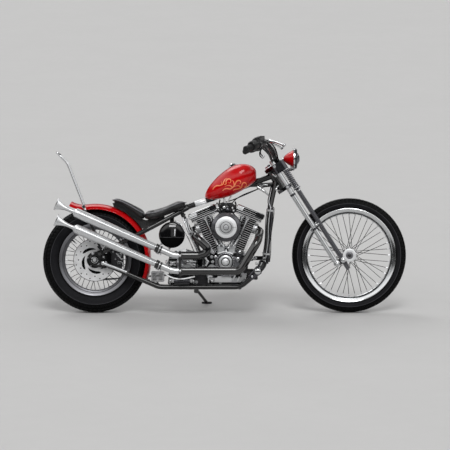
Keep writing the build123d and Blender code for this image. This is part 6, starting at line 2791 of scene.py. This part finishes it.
# ---- Fork, lamp and controls ----
@dataclass
class Springer:
    """Springs, rockers and fasteners of the springer fork."""

    leg_half: float = 80
    rear_lead: float = 36
    front_lead: float = 78
    spring_radius: float = 19
    collar_s: float = -38
    perch_s: float = 92
    neck_top: float = 128
    tree: float = 21
    spring_turns: int = 11
    coil_turns: int = 78

    def build(self) -> None:
        """Makes the fork's detailed pieces."""
        self.springs()
        self.leg_coils()
        self.rockers()
        self.fasteners()

    def point(self, s: float, lead: float = 0, y: float = 0) -> Vector:
        """A point s up the steering axis, lead ahead of it and y to the left."""
        return MACHINE.steer_point(s, lead, y)

    def foot_s(self) -> float:
        """How far down the steering axis the front axle stands."""
        return (MACHINE.front_axle() - Vector(MACHINE.neck)).dot(MACHINE.steer_up()) - 4

    def springs(self) -> None:
        """Makes the coil springs with their seats and inner rods."""
        form = Form()
        up = MACHINE.steer_up()
        for side in (-1, 1):
            base = self.point(self.collar_s + 0.5, self.front_lead, side * self.leg_half)
            tall = self.perch_s - self.collar_s - 1
            first, second, _ = turned_to(up)
            form.use("rim_steel")
            path = []
            for k in range(self.spring_turns * 22 + 1):
                share = k / (self.spring_turns * 22)
                turn = tau * self.spring_turns * share
                height = 2.4 + (tall - 4.8) * (share * 0.86 + 0.07 * (1 - cos(pi * share)))
                out = first * cos(turn) + second * sin(turn)
                path.append(base + up * height + out * (self.spring_radius - 3.2))
            form.tube(path, 3.1, 8)
            form.use("dark_chrome").lathe([(11.4, 0), (11.4, tall)], base, up, 20)
            form.use("satin_chrome").lathe(
                [(12, 0), (19.5, 0), (19.5, 3), (15, 4.5), (12, 4.5)], base, up, 28
            )
            form.lathe(
                [(12, tall), (19.5, tall), (19.5, tall - 3), (15, tall - 4.5), (12, tall - 4.5)], base, up,
                28
            )
        form.make("fork_coil_springs", Body.STEERING, "chrome", 40, stands_for=("fork_springs",))

    def leg_coils(self) -> None:
        """Makes the slender dark coils that sleeve the front legs."""
        form = Form().use("rim_steel")
        up = MACHINE.steer_up()
        first, second, _ = turned_to(up)
        for side in (-1, 1):
            top = self.point(-48, self.front_lead, side * self.leg_half)
            path = []
            for k in range(self.coil_turns * 10 + 1):
                turn = tau * k / 10
                path.append(top - up * (k * 0.72) + (first * cos(turn) + second * sin(turn)) * 12.2)
            form.tube(path, 1.7, 6)
        form.make("fork_leg_coils", Body.STEERING, "dark_steel", 50)

    def rockers(self) -> None:
        """Makes the rocker pivots' domed nuts, the front axle's hub caps and the legs' middle clip."""
        form = Form()
        foot = self.foot_s()
        for side in (-1, 1):
            out = LEFT * side
            for lead in (self.rear_lead, self.front_lead):
                pin = self.point(foot, lead, side * 97.4)
                form.use("chrome").lathe([(16, -1.2), (16, 0.4), (14, 1.2), (10, 1.2)], pin, out, 28)
                form.dome(pin, out, 13, 13, 28)
            axle = MACHINE.front_axle() + out * 99
            form.use("white_metal").lathe(
                [(10, -8), (40, -6), (40, 0), (38, 3), (32, 5), (23, 4), (21, 3)], axle, out, 64
            )
            form.use("rim_steel").lathe([(21, 3), (21, 8), (19, 11), (12, 12.5)], axle, out, 48)
            form.use("chrome").lathe([(12, 12.5), (11, 14.5), (0, 15)], axle, out, 32)
            form.rod(self.point(-285, 44, side * 94), self.point(-285, 74, side * 94), 6)
            form.ball(self.point(-285, 57, side * 97), 9, 16)
        form.make("fork_pivot_nuts", Body.STEERING, "chrome", 30)

    def fasteners(self) -> None:
        """Makes leg caps, stem nut, clamp bolts, spring rod nuts and leg boots."""
        form = Form()
        up = MACHINE.steer_up()
        top = self.neck_top + 1 + self.tree
        form.use("chrome").lathe(
            [(24, 0), (24, 4), (20, 7), (20, 15), (17, 18), (0, 19)], self.point(top), up, 6
        )
        for side in (-1, 1):
            y = side * self.leg_half
            cap = [(13.6, 18), (14.6, 20), (14.6, 26), (12, 31), (6, 34), (0, 34.6)]
            form.use("chrome").lathe(cap, self.point(top, self.rear_lead, y), up, 28)
            nut = [(15, 0), (15, 5), (12, 8), (12, 15), (9, 19), (0, 20)]
            form.lathe(nut, self.point(134, self.front_lead, y), up, 6)
            form.use("bolt_steel")
            for s in (top - 11, -2 - self.tree / 2 + 8):
                form.bolt(self.point(s, self.rear_lead - 4, side * (self.leg_half + 21)), LEFT * side, 6, 6)
            for dx in (-12, 12):
                for dy in (8, -8):
                    form.cap_screw(self.point(top + 33, 62 + dx, side * 36 + dy), up, 4.6, 5)
            form.use("dark_chrome")
            for s in (-60, -300):
                form.lathe(
                    [(13.4, -7), (15.4, -6), (15.4, 6), (13.4, 7)], self.point(s, self.rear_lead, y), up, 28
                )
            foot, away = self.foot_s() + 14, side * (self.leg_half + 13.2)
            form.rod(self.point(-68, self.rear_lead, away), self.point(foot, self.rear_lead, away), 1.7, 8)
            boot = [(11, -60), (13.5, -58), (13.5, -52), (11, -50)]
            form.use("chrome").lathe(boot, self.point(0, self.front_lead, y), up, 28)
        form.make("fork_fasteners", Body.STEERING, "chrome", 30)


@dataclass
class Headlight:
    """The lamp's rim rings, bulb and nuts."""

    centre: Point = (1168, 0, 912)
    radius: float = 57

    def build(self) -> None:
        """Makes the lamp's small parts."""
        at = Vector(self.centre)
        form = Form().use("chrome")
        start = at + AHEAD * 15
        r = self.radius
        form.lathe([(r + 0.6, -7), (r + 3.2, -6), (r + 3.6, 0), (r + 3.6, 2)], start, AHEAD, 72)
        form.use("dark_chrome").lathe(
            [(r + 3.6, 2), (r + 3.6, 6), (r + 2, 11), (r - 2, 14), (r - 6.8, 15)], start, AHEAD, 72
        )
        form.use("chrome").dome(at + Vector((12, 0, r + 1)), UP, 7, 7, 20)
        form.dome(at + Vector((10, 0, -r - 1)), -UP, 8, 11, 20)
        form.use("satin_chrome").lathe(
            [(0, 0), (6, 0), (6.4, 8), (4.5, 12), (0, 14)], at + AHEAD * -6, AHEAD, 20
        )
        form.use("chrome").bolt(at - AHEAD * 51.5, -AHEAD, 7, 5)
        form.use("bolt_steel").bolt((1168, -9, 858), RIGHT, 6, 5)
        form.make("lamp_fittings", Body.STEERING, "chrome", 30)


@dataclass
class Controls:
    """Grips, lever perches, switches, cables and foot rubbers."""

    grip_end: Point = (890, 400, 962)
    pullback: Point = (1010, 225, 1011)
    grip_length: float = 130
    # middle of the brake and clutch levers on the left, with the blade's radius at each place
    lever: tuple = (
        ((1030, 268, 1010), 11), ((1044, 288, 1008), 9.5), ((1062, 310, 1005), 6.6),
        ((1078, 330, 1000), 6.2), ((1096, 362, 992), 6.4), ((1112, 392, 984), 6)
    )

    def build(self) -> None:
        """Makes the rider's controls."""
        self.grips()
        self.perches()
        self.feet()

    def inward(self, side: int) -> Vector:
        """The direction from a grip's end toward the middle of the bar.

        Args:
            side: 1 for the left, -1 for the right.

        Returns:
            The direction.
        """
        a, b = Vector(self.grip_end), Vector(self.pullback)
        along = (b - a).normalized()
        return Vector((along.x, along.y * side, along.z))

    def end(self, side: int) -> Vector:
        """The outer end of a grip."""
        x, y, z = self.grip_end
        return Vector((x, y * side, z))

    def grips(self) -> None:
        """Makes the ribbed rubber grips with their end flanges."""
        form = Form().use("grip_rubber")
        for side in (-1, 1):
            start, along = self.end(side) - self.inward(side) * 5, self.inward(side)
            profile = [(0, 0), (10, 0), (15.5, 1.2), (17.2, 4), (17.2, 8), (15.6, 10.5)]
            for base in [13 + 7.7 * k for k in range(15)]:
                profile += [(15, base), (16.6, base + 0.9), (16.6, base + 5), (15, base + 5.9)]
            profile += [(15, 129), (17, 130), (20.5, 131), (20.5, 134.5), (17, 135), (13, 135)]
            form.lathe(profile, start, along, 40)
        form.make("grips_ribbed", Body.STEERING, "black_rubber", 30, stands_for=("grips",))

    def perches(self) -> None:
        """Makes the levers, perch clamps, hooks, and the cables and hoses beside the bar."""
        form = Form()
        for side in (-1, 1):
            along = self.inward(side)
            at = self.end(side) + along * (self.grip_length + 33)
            form.use("black_enamel").lathe([(24, -24), (26, -22), (26, -12), (24, -10)], at, along, 36)
            form.lathe([(24, 10), (26, 12), (26, 22), (24, 24)], at, along, 36)
            pot = [(0, -34), (25, -34), (33, -27), (37, -10), (37, 10), (33, 22), (24, 28), (0, 28)]
            form.use("grip_rubber").lathe(pot, at + Vector((-14, 0, 1)), along, 36)
            drum = [(17, -98), (24, -98), (28, -93), (29, -80), (29, -62), (26, -56), (26, -40), (17, -36)]
            form.lathe(drum, at + Vector((-4, 0, 2)), along, 36)
            blade = smooth_path([(x, side * y, z) for (x, y, z), _ in self.lever], 4)
            radii = [radius for _, radius in self.lever for _ in range(4)][:len(blade)]
            form.use("chrome").tube(blade, radii, 16)
            form.ball(blade[-1] + Vector((4, side * 5, 2)), 9.4, 18)
            form.dome(blade[0] + Vector((0, 0, 7)), UP, 9, 8, 20)
            form.use("cable_sheath")
            hook = [(x, side * 262, z) for x, z in ((985, 970), (978, 950), (982, 932), (996, 922))]
            form.tube(smooth_path(hook), 3.6, 10)
            form.use("chrome").ball(Vector(hook[-1]), 7, 16)
            form.use("cable_sheath")
            for shift, size in ((-12, 5), (0, 4.2), (11, 3.4), (20, 4)):
                start = at + along * 22 + Vector((10 + shift, 0, -8 + shift))
                route = [
                    start, start + Vector((26, -side * 40, -24)), (1048 + shift, side * 150, 944 + shift)
                ]
                for x, y, z in ((1062, 84, 896 + shift), (1066, 44, 868), (1070, 30, 850)):
                    route.append((x + shift, side * y, z))
                form.tube(smooth_path(route), size, 10)
        form.make("hand_control_fittings", Body.STEERING, "dark_steel", 34)

    def feet(self) -> None:
        """Makes the peg rubbers with their rings, and the pedals' ribbed pads."""
        form = Form()
        for side in (-1, 1):
            out = LEFT * side
            form.use("grip_rubber")
            profile = [(17.2, 0)]
            for k in range(9):
                profile += [
                    (17.2, 6 + k * 9), (18.6, 7 + k * 9), (18.6, 11.4 + k * 9), (17.2, 12.4 + k * 9)
                ]
            profile += [(17.2, 88)]
            form.lathe(profile, (962, side * 153, 246), out, 32)
            pad = [
                (11.1, 0), (12.2, 1), (12.2, 12), (11.1, 13), (12.2, 14), (12.2, 26), (11.1, 27),
                (12.2, 28), (12.2, 44), (11.1, 45)
            ]
            form.lathe(pad, (1000, side * 178, 318), out, 28)
            form.use("chrome").lathe(
                [(0, 5), (12, 5), (15, 3.5), (18, 0), (18, -3)], (962, side * 244, 246), out, 32
            )
            form.lathe([(11.4, 0), (10, 3), (0, 4)], (1000, side * 225.5, 318), out, 28)
        form.make("foot_rubbers", Body.CHASSIS, "black_rubber", 30)


# ---- Studio ----
@dataclass
class Studio:
    """Wide pale floor, graded surround, two broad lamps and the camera square to the machine."""

    aim: Point = (769.8, 0, 518.6)
    distance: float = 22
    lens: float = 296.3
    azimuth: float = 0
    elevation: float = 10
    floor_half: float = 90
    # the surround's grading: height from 0 at the floor's foot to 1 overhead, and level
    bands: tuple = (
        (0, 0.05), (0.52, 0.03), (0.63, 0.03), (0.68, 1.7), (0.8, 2.2), (0.86, 1.2), (0.91, 0.2), (1, 0.3),
    )
    # name, from (x, y, z), strength, angle in degrees
    suns: tuple = (("key", (0.12, -1, 1.5), 1.35, 28), ("back", (-0.6, 1, 1.3), 0.6, 30))

    def build(self) -> None:
        """Makes the floor, the lamps, the surround and the camera."""
        bpy.context.scene.view_settings.view_transform = "Standard"
        self.floor()
        self.surround()
        self.lamps()
        self.camera()

    def floor(self) -> None:
        """Makes the pale paper floor."""
        work = bmesh.new()
        bmesh.ops.create_grid(work, x_segments=24, y_segments=24, size=self.floor_half)
        mesh = bpy.data.meshes.new("floor")
        work.to_mesh(mesh)
        work.free()
        floor = bpy.data.objects.new("floor", mesh)
        floor.location.z = -0.0005
        bpy.context.scene.collection.objects.link(floor)
        sheet = NodeSheet("floor_paper")
        paper = [(0.3, (0.5, 0.497, 0.494)), (0.7, (0.51, 0.507, 0.504))]
        sheet.feed("Base Color", sheet.ramp(sheet.noise(1.5, 3), paper))
        sheet.feed("Roughness", sheet.spread(sheet.noise(8), 0.8, 0.95))
        mesh.materials.append(sheet.material)

    def surround(self) -> None:
        """Makes the soft surround, graded from a dim horizon to a bright height."""
        world = bpy.data.worlds.new("studio")
        bpy.context.scene.world = world
        world.use_nodes = True
        tree = world.node_tree
        tree.nodes.clear()
        place, split, raised, ramp, graded, output = (
            tree.nodes.new(f"ShaderNode{kind}")
            for kind in ("TexCoord", "SeparateXYZ", "MapRange", "ValToRGB", "Background", "OutputWorld")
        )
        raised.inputs["From Min"].default_value = -1
        while len(ramp.color_ramp.elements) < len(self.bands):
            ramp.color_ramp.elements.new(0.5)
        for element, (height, level) in zip(ramp.color_ramp.elements, self.bands):
            element.position = height
            element.color = (level, level, level, 1)
        graded.inputs["Strength"].default_value = 0.62
        tree.links.new(place.outputs["Generated"], split.inputs["Vector"])
        tree.links.new(split.outputs["Z"], raised.inputs["Value"])
        tree.links.new(raised.outputs["Result"], ramp.inputs["Fac"])
        tree.links.new(ramp.outputs["Color"], graded.inputs["Color"])
        tree.links.new(graded.outputs["Background"], output.inputs["Surface"])

    def lamps(self) -> None:
        """Makes the broad key lamp and the weaker one behind."""
        for name, place, strength, angle in self.suns:
            data = bpy.data.lights.new(name, "SUN")
            data.energy, data.angle = strength, radians(angle)
            lamp = bpy.data.objects.new(name, data)
            lamp.rotation_mode = "QUATERNION"
            lamp.rotation_quaternion = (-Vector(place)).to_track_quat("-Z", "Y")
            bpy.context.scene.collection.objects.link(lamp)

    def camera(self) -> None:
        """Makes the camera at the side view."""
        data = bpy.data.cameras.new("camera")
        data.lens = self.lens
        data.clip_end = 300
        camera = bpy.data.objects.new("camera", data)
        a, e = radians(self.azimuth), radians(self.elevation)
        back = Vector((sin(a) * cos(e), -cos(a) * cos(e), sin(e)))
        camera.location = TO_ROW @ Vector(self.aim) + back * self.distance
        camera.rotation_mode = "QUATERNION"
        camera.rotation_quaternion = (-back).to_track_quat("-Z", "Y")
        bpy.context.scene.collection.objects.link(camera)
        bpy.context.scene.camera = camera


def wheels() -> list[WireWheel]:
    """The two wheels with their sizes.

    Returns:
        The rear wheel and the front wheel.
    """
    rear = WireWheel(
        "rear", Body.REAR_WHEEL, MACHINE.rear_axle(), MACHINE.rear_tyre_radius, MACHINE.rear_crown,
        bead_radius=203.5, flange_radius=214, rim_half=42, well_radius=179, well_half=20,
        hub_half=80.5, hub_end=34, flange_y=38, hub_flange=44, barrel=30, axle=10,
        rim_finish="rim_steel", hub_finish="engine_black", tread_rows=6, tread_count=72, tread_depth=5,
    )
    front = WireWheel(
        "front", Body.FRONT_WHEEL, MACHINE.front_axle(), MACHINE.front_tyre_radius, MACHINE.front_crown,
        bead_radius=267.5, flange_radius=279, rim_half=31, well_radius=244, well_half=13,
        hub_half=46, hub_end=20, flange_y=30, hub_flange=38, barrel=21, axle=9,
        rim_finish="chrome", hub_finish="chrome", tread_rows=4, tread_count=84, tread_depth=4,
    )
    return [rear, front]


def main() -> None:
    """Builds every sub-assembly and the studio."""
    logging.basicConfig(level=logging.INFO, format="%(message)s")
    power = [VTwin(), Intake(), DriveCases(), Exhaust()]
    body = [TankArt(), Bodywork(), FrameFittings(), Saddle()]
    front = [Springer(), Headlight(), Controls()]
    for assembly in [*wheels(), RearBrake(), FinalDrive(), *power, *body, *front, KeptNodes(), Studio()]:
        assembly.build()
        log.info("built %s", type(assembly).__name__)


if __name__ == "__main__":
    main()
